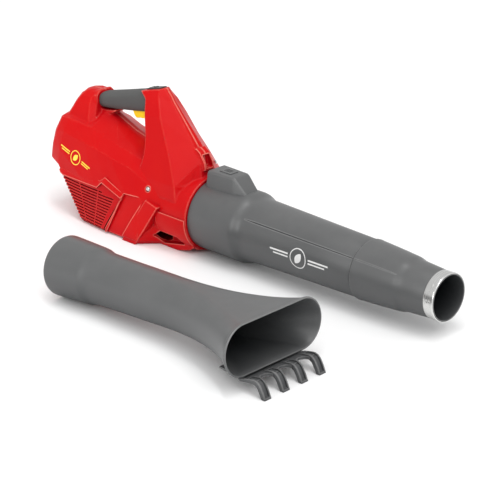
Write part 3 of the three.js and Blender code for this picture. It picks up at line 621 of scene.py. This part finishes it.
ringBand = [(104, 40), (104, 58), (112, 64), (190, 64.5), (195.5, 64.2), (197, 63), (197, 40)]
bulgeOutline = [(126, 40), (126, 65.3), (127.2, 66.5), (193, 66.5), (195.8, 65.2), (195.8, 40)]
shelfOutline = [
    (-72, 190), (-50, 190.4), (-30, 193.8), (-25, 196), (-23.5, 194), (-32, 188.5), (-52, 182), (-66, 176),
    (-80, 178)]


# How far out the flank stands along the ledge over the grille.
def flankOut(x):
    return 66.5 + min(1.0, (x + 108) / 108) * 6


# A block low on the side: side is +1 or -1, foot and top are how far out it stands at z 0 and z 78.
def sidePanel(name, side, outline, inner, foot, top):
    outer = [(x, side * (foot + (top - foot) * z / 78), z) for x, z in outline]
    return skinOver(name, [[(x, side * inner, z) for x, z in outline], outer])


def makeHousing():
    skin = bodySkin("housing")
    collar = [(-76, 18, 14), (-74, 21, 17), (-66, 21.5, 17.5), (-63, 20, 16)]
    combine(skin, [pillarSkin("pillar"), humpSkin("hump"), handleSkin("core", [(-90, 11, 10), (80, 11, 12)]),
                   handleSkin("gripCollar", collar), outlineBlock("hood", hoodOutline, -10.5, 10.5),
                   outlineBlock("shelf", shelfOutline, -13, 13),
                   spunAbout("ring", ringBand, 96, 65), outlineBlock("foot", footOutline, -46, 46)], "UNION")
    melted(skin, housingSet["grain"], housingSet["melt"])
    # the ledge over the grille, the side panels, the hood over the finger recess and the catch on the hump
    for side in (-1, 1):
        ledge = skinOver("ledge", [[(x, side * 56, z) for x, z in ledgeOutline],
                                   [(x, side * flankOut(x), z) for x, z in ledgeOutline],
                                   [(x, side * (flankOut(x) + housingSet["ledge"]), z) for x, z in ledgeInner]])
        combine(skin, [ledge], "UNION")
        # a sunk strip between the grille's border rib and a raised strip, then the duct's bulge
        sunk = skinOver("sunk", [[(x, side * 95, z) for x, z in sunkOutline],
                                 [(x, side * (76.5 - z * 0.085), z) for x, z in sunkOutline]])
        combine(skin, [sunk], "DIFFERENCE")
        rib = rounded(sidePanel("rib", side, ribOutline, 58, 79.5, 75.5), 0.8)
        raised = rounded(sidePanel("raised", side, raisedOutline, 44, 79.2, 71.5), housingSet["panelBevel"])
        bulge = spunAbout("bulge", bulgeOutline, 128, 65)
        near, far = sorted((side * 25, side * 90))
        combine(bulge, [block("below", (100, near, 7), (210, far, 68))], "INTERSECT")
        combine(skin, [rib, raised, bulge], "UNION")
    combine(skin, [outlineBlock("grilleSpace", grilleOutline, -95, 95)], "DIFFERENCE")
    recess = rounded(outlineBlock("recess", recessOutline, -7.5, 7.5), 1.5)
    humpRecess = rounded(outlineBlock("humpRecess", humpRecessOutline, -16, 16), 2.0)
    pockets = [rounded(outlineBlock("pocket", pocketOutline, side * 34, side * 62), 1.2) for side in (-1, 1)]
    combine(skin, [recess, humpRecess, *pockets], "DIFFERENCE")
    # the hollow inside, the battery's bay, the fan duct's room and the trigger's slot
    hollow = bodySkin("hollow", housingSet["bodyWall"])
    combine(hollow, [pillarSkin("pillarHollow", housingSet["pillarWall"])], "UNION")
    sills = [block("sill", (-200, near, -20), (130, far, 104)) for near, far in ((-90, -58), (58, 90))]
    combine(hollow, sills, "DIFFERENCE")
    bay = block("bay", *bayRoom)
    duct = spunAbout("duct", [(70, 0.01), (70, 61.5), (86, 61.5), (86, housingSet["ductRadius"]),
                              (215, housingSet["ductRadius"]), (215, 0.01)], 72, 65)
    slots = [block("slot", low, high) for low, high in triggerCut]
    slots.append(block("turboWell", (52.6, -6.4, 233.6), (65.4, 6.4, 270)))
    combine(skin, [hollow, bay, duct, *slots], "DIFFERENCE")
    screws = [rod("screwSeat", "y", side * 59.8 - 6, side * 59.8 + 6, housingSet["screwSeat"], (106, 99))
              for side in (-1, 1)]
    combine(skin, screws, "DIFFERENCE")
    left = copyOf(skin, "housingLeft")
    skin.name = "housingRight"
    seam = housingSet["seam"] / 2
    combine(left, [block("leftRoom", (-200, seam, -20), (240, 120, 300))], "INTERSECT")
    combine(skin, [block("rightRoom", (-200, -120, -20), (240, -seam, 300))], "INTERSECT")
    hand(left, redGloss, "housing", ["housing_left"])
    hand(skin, redGloss, "housing", ["housing_right"])


makeHousing()
print("housing made")

# Intake grille.
grilleSet = {"sheet": -0.4, "thick": 5.5, "depth": 2.6, "rows": 13, "first": 6.2, "pitch": 5.2, "slot": 2.5}


def makeGrille():
    window = [(-170, 87.4), (-99.8, 73.4), (-6.8, 75.4), (6, 87.2), (52.2, 71.6), (5.4, -1), (-120, -1)]
    sheet = bodySkin("grille", grilleSet["sheet"])
    combine(sheet, [bodySkin("core", grilleSet["sheet"] + grilleSet["thick"])], "DIFFERENCE")
    combine(sheet, [outlineBlock("window", window, -95, 95)], "INTERSECT")
    rows = []
    for row in range(grilleSet["rows"]):
        z = grilleSet["first"] + row * grilleSet["pitch"]
        top = z + grilleSet["slot"]
        rear = -60 - z / 80 * 55
        front = 6 + z / 80 * 42
        first = rear + (front - rear) * 0.36
        second = rear + (front - rear) * 0.69
        for start, end in ((rear - 20, first - 2.4), (first, second - 2.4), (second, front - 5)):
            end = min(end, 4) if z > 68 else end
            rows.append(block("louvre", (start, -95, z), (end, 95, top)))
    cutter = rows.pop(0)
    combine(cutter, rows, "UNION")
    combine(cutter, [bodySkin("keep", grilleSet["sheet"] + grilleSet["depth"])], "DIFFERENCE")
    combine(sheet, [cutter], "DIFFERENCE")
    combine(sheet, [block("bay", *bayRoom)], "DIFFERENCE")
    base = rounded(outlineBlock("base", [(-57, 0), (8, 0), (8, 3), (-59, 3)], -64, 64), 1.0)
    combine(sheet, [base], "UNION")
    hand(sheet, redMatt, "housing", ["intake_grille"], 30)


makeGrille()
print("grille made")

# Handle.
gripSet = {"points": 32, "pad": (48, 82),
           "stations": [(-63.5, 15.2, 11.5, 12), (-61, 16.6, 12.8, 14), (-50, 17, 13.4, 16),
                        (-20, 17.2, 14.4, 18.6), (10, 17.5, 15.8, 20.6), (40, 17.8, 17.2, 22),
                        (58, 18, 17.6, 22.6)]}


# Rounded sections: half width, rise above and drop under the handle's line.
def makeGrip():
    rings = []
    for x, wide, above, below in gripSet["stations"]:
        ring = []
        for i in range(gripSet["points"]):
            angle = 2 * math.pi * i / gripSet["points"]
            side = math.copysign(abs(math.cos(angle)) ** 0.7, math.cos(angle))
            rise = math.copysign(abs(math.sin(angle)) ** 0.7, math.sin(angle))
            ring.append((x, wide * side, handleHeight(x) + rise * (above if rise > 0 else below)))
        rings.append(ring)
    grip = skinOver("grip", rings)
    overTop = [(44, topHeight(44)), (70, topHeight(70)), (70, 300), (44, 300)]
    combine(grip, [pillarSkin("clear", -0.4), handleSkin("bore", [(-90, 11.4, 10.4), (80, 11.4, 12.4)]),
                   block("slot", (-2, -7.2, 180), (66, 7.2, 219)), outlineBlock("overTop", overTop, -30, 30)],
            "DIFFERENCE")
    hand(grip, gripSoft, "housing", ["handle_grip"], 35)
    rear, front = gripSet["pad"]
    pad = outlineBlock("pad", [(rear, topHeight(rear) + 0.35), (front, topHeight(front) + 0.35),
                               (front, topHeight(front) + 1.9), (rear, topHeight(rear) + 1.9)], -7.4, 7.4)
    combine(pad, [block("padWell", (52.6, -6.4, 240), (65.4, 6.4, 270))], "DIFFERENCE")
    rounded(pad, 0.4, 2)
    hand(pad, gripSoft, "housing", ["thumb_pad"], 30)
    wedge = [(53.2, 247.4), (64.8, 247.4), (64.8, 254.4), (53.2, 251.6)]
    turbo = rounded(outlineBlock("turboButton", wedge, -5.8, 5.8), 0.9)
    combine(turbo, [block("stem", (55, -4, 244.8), (63, 4, 248))], "UNION")
    ridges = [block("ridge", (56 + 2.6 * k, -3.6, 251.9 + 0.65 * k), (57 + 2.6 * k, 3.6, 262))
              for k in range(3)]
    combine(turbo, ridges, "DIFFERENCE")
    hand(turbo, tubeGrey, "turbo", ["turbo_button"], 30)


makeGrip()
print("handle made")

# Trigger.
triggerSet = {"half": 6.8, "bevel": 1.8, "pin": (50, 228.5)}
triggerOutline = [
    (52, 225), (54, 229.5), (50, 233), (45.5, 231), (38, 222), (20, 216), (13, 213.5), (11, 207),
    (12.5, 200), (15.5, 194.5), (19, 191), (23, 190.8), (29, 192.6), (36, 193), (41, 194.5), (44.5, 198),
    (48, 206)]


def makeTrigger():
    half = triggerSet["half"]
    lever = rounded(outlineBlock("triggerLever", triggerOutline, -half, half), triggerSet["bevel"], 3, 50)
    combine(lever, [rod("pivot", "y", -10, 10, 2.15, triggerSet["pin"]),
                    rod("springRoom", "y", -4.2, 4.2, 5.4, triggerSet["pin"])], "DIFFERENCE")
    hand(lever, yellowGloss, "trigger", ["trigger"], 30)


makeTrigger()
print("trigger made")

# Blow tube.
tubeSet = {"steps": 128, "seamAngle": 37, "axis": 65}
tubeOutline = [
    (197.4, 56.8), (197.4, 59.0), (198.2, 59.8), (199.5, 60), (250, 60), (289, 59.9), (293, 59.5),
    (297, 58.3), (301, 56.6), (305, 55.0), (309, 53.9), (314, 53.2), (320, 52.9), (430, 50.3),
    (540.6, 47.7), (541.8, 47.3), (542.3, 46.4), (544, 46.2), (593, 43.1), (593, 40.8), (543, 44),
    (316, 50.4), (305, 50.6), (290, 56.8)]
seamRows = [
    (313, 51.9, 58, 0.15), (322, 51.4, 58, 0.5), (345, 50.9, 58, 1.0), (430, 49.2, 56, 0.9),
    (541, 46.6, 54, 0.6)]
bossRows = [(205.5, 25, 19.5, 145.4), (207, 25.5, 20.5, 147), (262, 24, 18.5, 147), (265, 23.6, 18, 145.8),
            (284, 21.5, 16, 127.5), (300, 19, 14, 113)]


# A thin strip that follows the tube at a height angle: rows of x, inner radius, outer radius, half width.
def tubeStrip(name, rows, side):
    turned = math.radians(tubeSet["seamAngle"])
    rings = []
    for x, low, high, half in rows:
        ring = []
        for r, s in ((low, -half), (high, -half), (high, half), (low, half)):
            ring.append((x, side * (r * math.cos(turned) - s * math.sin(turned)),
                         tubeSet["axis"] + r * math.sin(turned) + s * math.cos(turned)))
        rings.append(ring)
    return skinOver(name, rings)


def makeBlowTube():
    tube = spunAbout("blowTube", tubeOutline, tubeSet["steps"], tubeSet["axis"])
    rings = []
    for x, low, high, top in bossRows:
        half = [(0, 95), (low, 95), (low, 112), (high, top - 3), (high - 3, top), (0, top)]
        rings.append([(x, y, z) for y, z in mirroredHalf(half)])
    boss = skinOver("boss", rings)
    rounded(boss, 1.6, 3, 20)
    bore = [(150, 0.01), (150, 57), (290, 57), (305, 51), (330, 51), (330, 0.01)]
    combine(boss, [spunAbout("inside", bore, 96, tubeSet["axis"])], "DIFFERENCE")
    combine(tube, [boss], "UNION")
    seams = [tubeStrip("seam", seamRows, side) for side in (-1, 1)]
    well = rounded(block("well", (221.5, -9.5, 128), (248.5, 9.5, 160)), 0.8, 2)
    combine(tube, [well, *seams], "DIFFERENCE")
    combine(tube, [rod("springSeat", "z", 124, 130, 5, (235, 0))], "UNION")
    hand(tube, tubeGrey, "blow_tube", ["blow_tube"], 32)
    latch = rounded(block("latchButton", (222, -9, 141), (248, 9, 148.6)), 1.2)
    combine(latch, [block("tongue", (222, -6, 134), (225, 6, 142))], "UNION")
    dish = rounded(block("dish", (228, -5.5, 147.6), (242, 5.5, 152)), 1.0, 2)
    combine(latch, [dish], "DIFFERENCE")
    ribs = [rounded(block("rib", (230 + 4 * k, -4.6, 147), (231.6 + 4 * k, 4.6, 148.5)), 0.3, 2)
            for k in range(3)]
    combine(latch, ribs, "UNION")
    hand(latch, tubeGrey, "tube_latch", ["tube_latch"], 30)


makeBlowTube()
print("blow tube made")

# Round nozzle and its steel ring.
nozzleSet = {
    "dentAngles": (184, 4), "dentPlaces": (687.6, 693.4), "rivetAngles": (42, 222), "rivetPlace": 690.5}
nozzleOutline = [
    (543.4, 46.7), (543.4, 48.6), (544.4, 49.4), (546.4, 49.5), (549, 49.1), (560, 48.6), (600, 46.2),
    (622, 44.6), (627, 43.9), (631, 42.8), (635, 41.6), (640, 40.9), (650, 40.3), (678.5, 38.4),
    (680.4, 38.0), (680.9, 37.3), (699, 37.2), (700, 36.8), (700, 35.8), (699, 35.5), (680, 35.6),
    (638, 38.4), (626, 41.0)]
ringOutline = [
    (681.3, 37.5), (681.3, 38.3), (681.9, 38.7), (684, 38.9), (697, 38.9), (698.8, 39.0), (699.6, 38.6),
    (699.7, 37.5)]


def atAngle(piece, degrees, radius, along):
    pick(piece)
    piece.rotation_euler = (math.radians(90 - degrees), 0, 0)
    turned = math.radians(degrees)
    height = tubeSet["axis"] + radius * math.sin(turned)
    piece.location = (along * mm, -radius * math.cos(turned) * mm, height * mm)
    return settle(piece, piece.name)


def makeNozzle():
    nozzle = spunAbout("roundNozzle", nozzleOutline, tubeSet["steps"], tubeSet["axis"])
    rows = [(546, 48.3, 54, 0.35), (590, 46.0, 54, 0.3), (626, 43.7, 50, 0.15)]
    combine(nozzle, [tubeStrip("nozzleSeam", rows, side) for side in (-1, 1)], "DIFFERENCE")
    hand(nozzle, tubeGrey, "front_nozzle", ["round_nozzle"], 32)
    ring = spunAbout("steelRing", ringOutline, tubeSet["steps"], tubeSet["axis"])
    dents = [atAngle(rounded(block("dent", (-1.9, -2.2, -0.5), (1.9, 2.2, 2)), 0.3, 2), angle, 38.9, x)
             for angle in nozzleSet["dentAngles"] for x in nozzleSet["dentPlaces"]]
    combine(ring, dents, "DIFFERENCE")
    rivets = [atAngle(rounded(rod("rivet", "z", -1.0, 0.9, 2.6, (0, 0), 24), 0.6, 3), angle, 38.8,
                      nozzleSet["rivetPlace"]) for angle in nozzleSet["rivetAngles"]]
    combine(ring, rivets, "UNION")
    hand(ring, steel, "front_nozzle", ["nozzle_ring"], 30)


makeNozzle()
print("round nozzle made")

# Wide flat nozzle and its rake, lying on the floor.
flatSet = {"points": 72, "wall": 2.4, "place": (168, -293.5, 48.81), "pitch": 2.1, "yaw": 1.2}
cupRows = [
    (0, 93.5, 93.5), (0, 96.4, 96.4), (1.2, 97.4, 97.4), (6, 97.4, 97.4), (40, 94.6, 94.6), (70, 92, 92),
    (75, 91, 91), (80, 88, 88), (86, 85.4, 85.4), (92, 84, 84)]
flareRows = [
    (92, 84, 84), (150, 82, 82), (215, 80.5, 80.5), (262, 82, 78), (305, 92, 74.5), (345, 110, 72),
    (385, 138, 71.5), (415, 167, 73.5), (436, 194, 77)]
lipRows = [
    (439.5, 199, 77.8), (440.6, 203, 80.4), (442, 204.6, 81.6), (443.8, 204.4, 81.4), (444.8, 202.6, 79.8),
    (444.9, 200.6, 77.4), (443.4, 198.4, 75.2)]


# Rows drawn as one smooth curve through them all.
def curved(rows, count):
    drawn = []
    for i in range(count):
        place = i / (count - 1) * (len(rows) - 1)
        k = min(int(place), len(rows) - 2)
        f = place - k
        near = [rows[max(k - 1, 0)], rows[k], rows[k + 1], rows[min(k + 2, len(rows) - 1)]]
        drawn.append([b + 0.5 * f * (c - a + f * (2 * a - 5 * b + 4 * c - d + f * (3 * (b - c) + d - a)))
                      for a, b, c, d in zip(*near)])
    return drawn


# A circle, or a shape with flat top and bottom and round ends when it is wider than high.
def ovalRing(x, wide, high):
    ring = []
    for i in range(flatSet["points"]):
        angle = (i + 0.5) / flatSet["points"] * 2 * math.pi
        reach = math.copysign((wide - high) / 2, math.cos(angle))
        ring.append((x, high / 2 * math.cos(angle) + reach, high / 2 * math.sin(angle)))
    return ring


def layDown(piece):
    pick(piece)
    piece.matrix_world = (Matrix.Translation([v * mm for v in flatSet["place"]])
                          @ Matrix.Rotation(math.radians(flatSet["yaw"]), 4, "Z")
                          @ Matrix.Rotation(math.radians(-flatSet["pitch"]), 4, "Y"))
    return settle(piece, piece.name)


rakeSet = {"under": -39, "half": 61, "clawHalf": 7.2, "troughHalf": 4.6, "claws": (-58, -19.4, 19.4, 58),
           "notches": (-38.7, 0, 38.7), "notchRadius": 11.2}


# One claw: a curved bar, hollowed down its back, drawn from the side and set at y.
def claw(y):
    under = rakeSet["under"]
    line = [(432, under - 7.5), (446, under - 3.4), (458, under - 1.2), (464, under - 0.6), (470, under - 2.2),
            (475, under - 6.6), (480.5, under - 16.5), (484.8, under - 27.6), (477.6, under - 27.4),
            (474, under - 20), (469, under - 11.5), (464, under - 8.2), (452, under - 9), (436, under - 10.4)]
    bar = rounded(outlineBlock("claw", line, y - rakeSet["clawHalf"], y + rakeSet["clawHalf"]), 0.9, 2, 40)
    trough = [(452, under + 6), (452, under - 4.2), (464, under - 3.4), (470, under - 6.2), (475, under - 13),
              (479.4, under - 24), (490, under - 26), (486, under + 6)]
    half = rakeSet["troughHalf"]
    return combine(bar, [rounded(outlineBlock("trough", trough, y - half, y + half), 0.8, 2, 40)], "DIFFERENCE")


def makeFlatNozzle():
    flare = curved(flareRows, 36)[1:]
    outer = [ovalRing(*row) for row in [*cupRows, *flare, *lipRows]]
    inner = [ovalRing(x, wide - 2 * flatSet["wall"], high - 2 * flatSet["wall"])
             for x, wide, high in reversed([*cupRows[4:], *flare])]
    shell = skinOver("flatNozzle", [*outer, *inner, ovalRing(6, 92.4, 92.4)], hoop=True)
    layDown(shell)
    hand(shell, tubeGrey, "flat_nozzle", ["flat_nozzle"], 32)
    under, half = rakeSet["under"], rakeSet["half"]
    plate = [(392, under - 1.2), (430, under - 2.6), (444, under - 4.2), (453, under - 4.6), (454, under - 8.0),
             (440, under - 9.0), (400, under - 5.4), (391, under - 3.6)]
    rake = rounded(outlineBlock("rake", plate, -half, half), 0.8, 2)
    notches = [rod("notch", "z", under - 20, under + 6, rakeSet["notchRadius"], (466, y), 40)
               for y in rakeSet["notches"]]
    strip = [(446, under - 4.4), (466, under - 2.6), (467, under - 7.4), (446, under - 8.6)]
    web = rounded(outlineBlock("web", strip, -half, half), 0.6, 2)
    combine(web, notches, "DIFFERENCE")
    combine(rake, [web, *[claw(y) for y in rakeSet["claws"]]], "UNION")
    layDown(rake)
    hand(rake, rakeGrey, "flat_nozzle", ["rake"], 30)


makeFlatNozzle()
print("flat nozzle made")

# Battery and release button.
batterySet = {
    "half": 38, "edge": 3.0, "contacts": (-18, 0, 18), "ridges": 5, "ridgeHalf": 27, "buttonHalf": 12.4}
packOutline = [(-148.2, 96), (-136.6, 147.5), (-20, 147.5), (-20, 96)]
batteryButtonOutline = [(-141.2, 131.6), (-139.2, 140.4), (-133, 140.4), (-133, 131.6)]


def makeBattery():
    half = batterySet["half"]
    pack = rounded(outlineBlock("batteryPack", packOutline, -half, half), batterySet["edge"], 4)
    grooves = [block("groove", (-160, side * half - 3, 128), (-18, side * half + 3, 134)) for side in (-1, 1)]
    contacts = [block("contact", (-29, y - 1.6, 103), (-18, y + 1.6, 121)) for y in batterySet["contacts"]]
    well = block("well", (-155, -13, 131), (-128, 13, 141))
    ridges, wide = [], batterySet["ridgeHalf"]
    for k in range(batterySet["ridges"]):
        foot, face = 101 + 6 * k, -148.4 + 1.36 * k
        ridge = [(-151, foot), (face + 0.4, foot), (face + 1.1, foot + 3), (-151, foot + 3)]
        ridges.append(rounded(outlineBlock("ridge", ridge, -wide, wide), 0.5, 2))
    combine(pack, [*grooves, *contacts, well, *ridges], "DIFFERENCE")
    hand(pack, blackNylon, "battery", ["battery_pack"], 30)
    half = batterySet["buttonHalf"]
    button = rounded(outlineBlock("batteryButton", batteryButtonOutline, -half, half), 0.8, 3)
    hand(button, yellowGloss, "battery_release", ["battery_button"], 30)


makeBattery()
print("battery made")

# Screws.
screwSet = {
    "place": (106, 60, 99), "head": [(0, 0.01), (0, 4), (1.2, 4), (2.2, 3.2), (2.7, 1.8), (2.8, 0.01)]}


def makeDuctScrews():
    x, out, z = screwSet["place"]
    for name, side in (("ductScrewRight", -1), ("ductScrewLeft", 1)):
        head = spunAbout(name, screwSet["head"], 40)
        combine(head, [rod("shank", "x", -8, 0.6, 2, (0, 0), 24), rod("socket", "x", 1.2, 4, 1.5, (0, 0), 6)],
                "UNION")
        pick(head)
        head.rotation_euler = (0, 0, math.radians(90 * side))
        head.location = (x * mm, side * out * mm, z * mm)
        settle(head, name)
        hand(head, steel, "housing", ["duct_screw_right" if side < 0 else "duct_screw_left"], 30)


makeDuctScrews()
print("screws made")


# Springs under the buttons: joint, body, CAD node, coil, and the share of its length left when the button is in.
springSet = {
    "turboCoil": (
        "turbo_press", "housing", "turbo_spring",
        {"centre": (59, 0), "radius": 3.0, "wire": 0.4, "low": 240.7, "high": 244.5, "turns": 2}, 0.38),
    "latchCoil": (
        "tube_latch_press", "blow_tube", "tube_latch_spring",
        {"centre": (235, 0), "radius": 4.0, "wire": 0.6, "low": 130.4, "high": 140.6, "turns": 4}, 0.7),
}
waveSpring = {
    "rear": -132.6, "front": -128.4, "halfWidth": 8.0, "waves": 4, "wire": 0.45, "height": 136.0,
    "keep": 0.32}


def wireRing(middle, aside, wire):
    ring = []
    for step in range(8):
        turn = 2 * math.pi * step / 8
        out, up = wire * math.cos(turn), wire * math.sin(turn)
        ring.append((middle[0] + out * aside[0], middle[1] + out * aside[1], middle[2] + up))
    return ring


def coilRings(centre, radius, wire, low, high, turns):
    rings = []
    count = turns * 20
    for step in range(count + 1):
        turn = 2 * math.pi * step / 20
        aside = (math.cos(turn), math.sin(turn))
        height = low + wire + (high - low - 2 * wire) * step / count
        middle = (centre[0] + radius * aside[0], centre[1] + radius * aside[1], height)
        rings.append(wireRing(middle, aside, wire))
    return rings


def waveRings(look):
    rings = []
    swing = (look["front"] - look["rear"]) / 2 - look["wire"]
    pace = math.pi * look["waves"] / (2 * look["halfWidth"])
    for step in range(65):
        y = look["halfWidth"] * (2 * step / 64 - 1)
        x = (look["front"] + look["rear"]) / 2 + swing * math.cos(pace * (y + look["halfWidth"]))
        slope = -swing * pace * math.sin(pace * (y + look["halfWidth"]))
        length = math.hypot(1, slope)
        rings.append(wireRing((x, y, look["height"]), (1 / length, -slope / length), look["wire"]))
    return rings


def makeSprings():
    for name, (joint, body, node, ends, keep) in springSet.items():
        coil = hand(skinOver(name, coilRings(**ends)), steel, body, [node], 60)
        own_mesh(coil)
    wave = skinOver("waveSpring", waveRings(waveSpring))
    hand(wave, steel, "battery", ["battery_button_spring"], 60)
    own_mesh(wave)


makeSprings()
print("springs ready")

# Plain marks: a ring with a leaf, and a bar either side.
markSet = {"line": 1.5, "flank": {"centre": (-70, 112), "lean": -16, "ring": 12.6},
           "tube": {"centre": (437, 66.5), "lean": 0, "ring": 16.6}}
barsFlank = [(-42, -17, 1.0, 3.0), (-38, -17, -2.6, -0.8), (17, 40, 1.0, 3.0), (17, 36, -2.6, -0.8)]
barsTube = [(-59, -21, 1.6, 4.2), (-52, -21, -3.6, -1.2), (21, 62, 1.6, 4.2), (21, 55, -3.6, -1.2)]
inkOutline = [(320, 52.0), (320, 53.1), (430, 50.5), (541, 47.85), (541, 46.6), (430, 49.4)]


def leafOutline(length, wide, count=9):
    half = [(length * (i / count - 0.5), wide * math.sin(math.pi * i / count) ** 0.8) for i in range(1, count)]
    return [(-length / 2, 0), *half, (length / 2, 0), *[(x, -z) for x, z in reversed(half)]]


# The mark drawn flat round a centre in x and z, as thick as from y0 to y1.
def flatMark(name, centre, lean, ring, bars, y0, y1):
    def placed(points, extra=0.0):
        angle = math.radians(lean + extra)
        c, s = math.cos(angle), math.sin(angle)
        return [(centre[0] + x * c - z * s, centre[1] + x * s + z * c) for x, z in points]
    mark = rod(name, "y", y0, y1, ring, centre, 64)
    combine(mark, [rod("open", "y", y0 - 1, y1 + 1, ring - markSet["line"], centre, 64)], "DIFFERENCE")
    pieces = [outlineBlock("leaf", placed(leafOutline(ring * 1.25, ring * 0.36), 58), y0, y1)]
    for start, end, low, high in bars:
        corners = [(start, low), (start, high), (end, high), (end, low)]
        pieces.append(outlineBlock("bar", placed(corners), y0, y1))
    return combine(mark, pieces, "UNION")


def makeMarks():
    for name, side in (("flankMarkRight", -1), ("flankMarkLeft", 1)):
        low, high = (-95, -50) if side < 0 else (50, 95)
        mark = flatMark(name, bars=barsFlank, y0=low, y1=high, **markSet["flank"])
        layer = combine(bodySkin("layer", -0.3), [bodySkin("layerInside", 0.8)], "DIFFERENCE")
        combine(mark, [layer], "INTERSECT")
        hand(mark, yellowGloss, "housing", (), 30)
    for name, side in (("tubeMarkRight", -1), ("tubeMarkLeft", 1)):
        low, high = (-60, -30) if side < 0 else (30, 60)
        mark = flatMark(name, bars=barsTube, y0=low, y1=high, **markSet["tube"])
        combine(mark, [spunAbout("layer", inkOutline, 96, tubeSet["axis"])], "INTERSECT")
        hand(mark, whiteInk, "blow_tube", (), 30)


makeMarks()
print("marks made")

# Floor and light.
studio = {
    "floorTint": (0.93, 0.93, 0.93), "world": 0.74, "sun": 1.35, "sunSpread": 62.0, "key": 3.0,
    "strip": 14.0}
clearSelection()
bpy.ops.mesh.primitive_plane_add(size=14, location=(0.2, 0.6, cadBox[0][2] - 0.0002))
floor = settle(bpy.context.object, "floor")
floorPaint = bpy.data.materials.new("floorPaint")
floorPaint.use_nodes = True
floorShader = floorPaint.node_tree.nodes["Principled BSDF"]
floorGrain = useGroup(floorPaint.node_tree, grainGroup, Grain_scale=200.0, Mottle_scale=1.5)
link(floorPaint.node_tree, blendColour(floorPaint.node_tree, floorGrain.outputs["Mottle"], studio["floorTint"],
                                       (0.95, 0.95, 0.95)), floorShader.inputs["Base Color"])
floorShader.inputs["Roughness"].default_value = 0.7
floor.data.materials.append(floorPaint)

world = bpy.data.worlds.new("studio")
world.use_nodes = True
world.node_tree.nodes["Background"].inputs["Color"].default_value = (1, 1, 1, 1)
world.node_tree.nodes["Background"].inputs["Strength"].default_value = studio["world"]
bpy.context.scene.world = world
bpy.context.scene.view_settings.view_transform = "Standard"


def softbox(name, place, aim, size, power):
    lampData = bpy.data.lights.new(name, "AREA")
    lampData.shape = "RECTANGLE"
    lampData.size, lampData.size_y = size
    lampData.energy = power
    lamp = bpy.data.objects.new(name, lampData)
    bpy.context.scene.collection.objects.link(lamp)
    lamp.location = place
    lamp.rotation_euler = (Vector(aim) - Vector(place)).to_track_quat("-Z", "Y").to_euler()
    return lamp


softbox("keyLight", (2.4, -0.9, 1.9), (0.1, 0, 0.12), (1.0, 0.8), studio["key"])
softbox("edgeStrip", (0.02, -2.7, 0.9), (0.1, 0, 0.17), (0.035, 1.6), studio["strip"])
softbox("topStrip", (0.6, -0.4, 2.8), (0.1, 0, 0.1), (0.06, 1.6), studio["strip"])
sunData = bpy.data.lights.new("sunLight", "SUN")
sunData.energy = studio["sun"]
sunData.angle = math.radians(studio["sunSpread"])
sun = bpy.data.objects.new("sunLight", sunData)
bpy.context.scene.collection.objects.link(sun)
sun.rotation_euler = Vector((-0.62, 0.42, -1.0)).to_track_quat("-Z", "Y").to_euler()
print("studio ready")
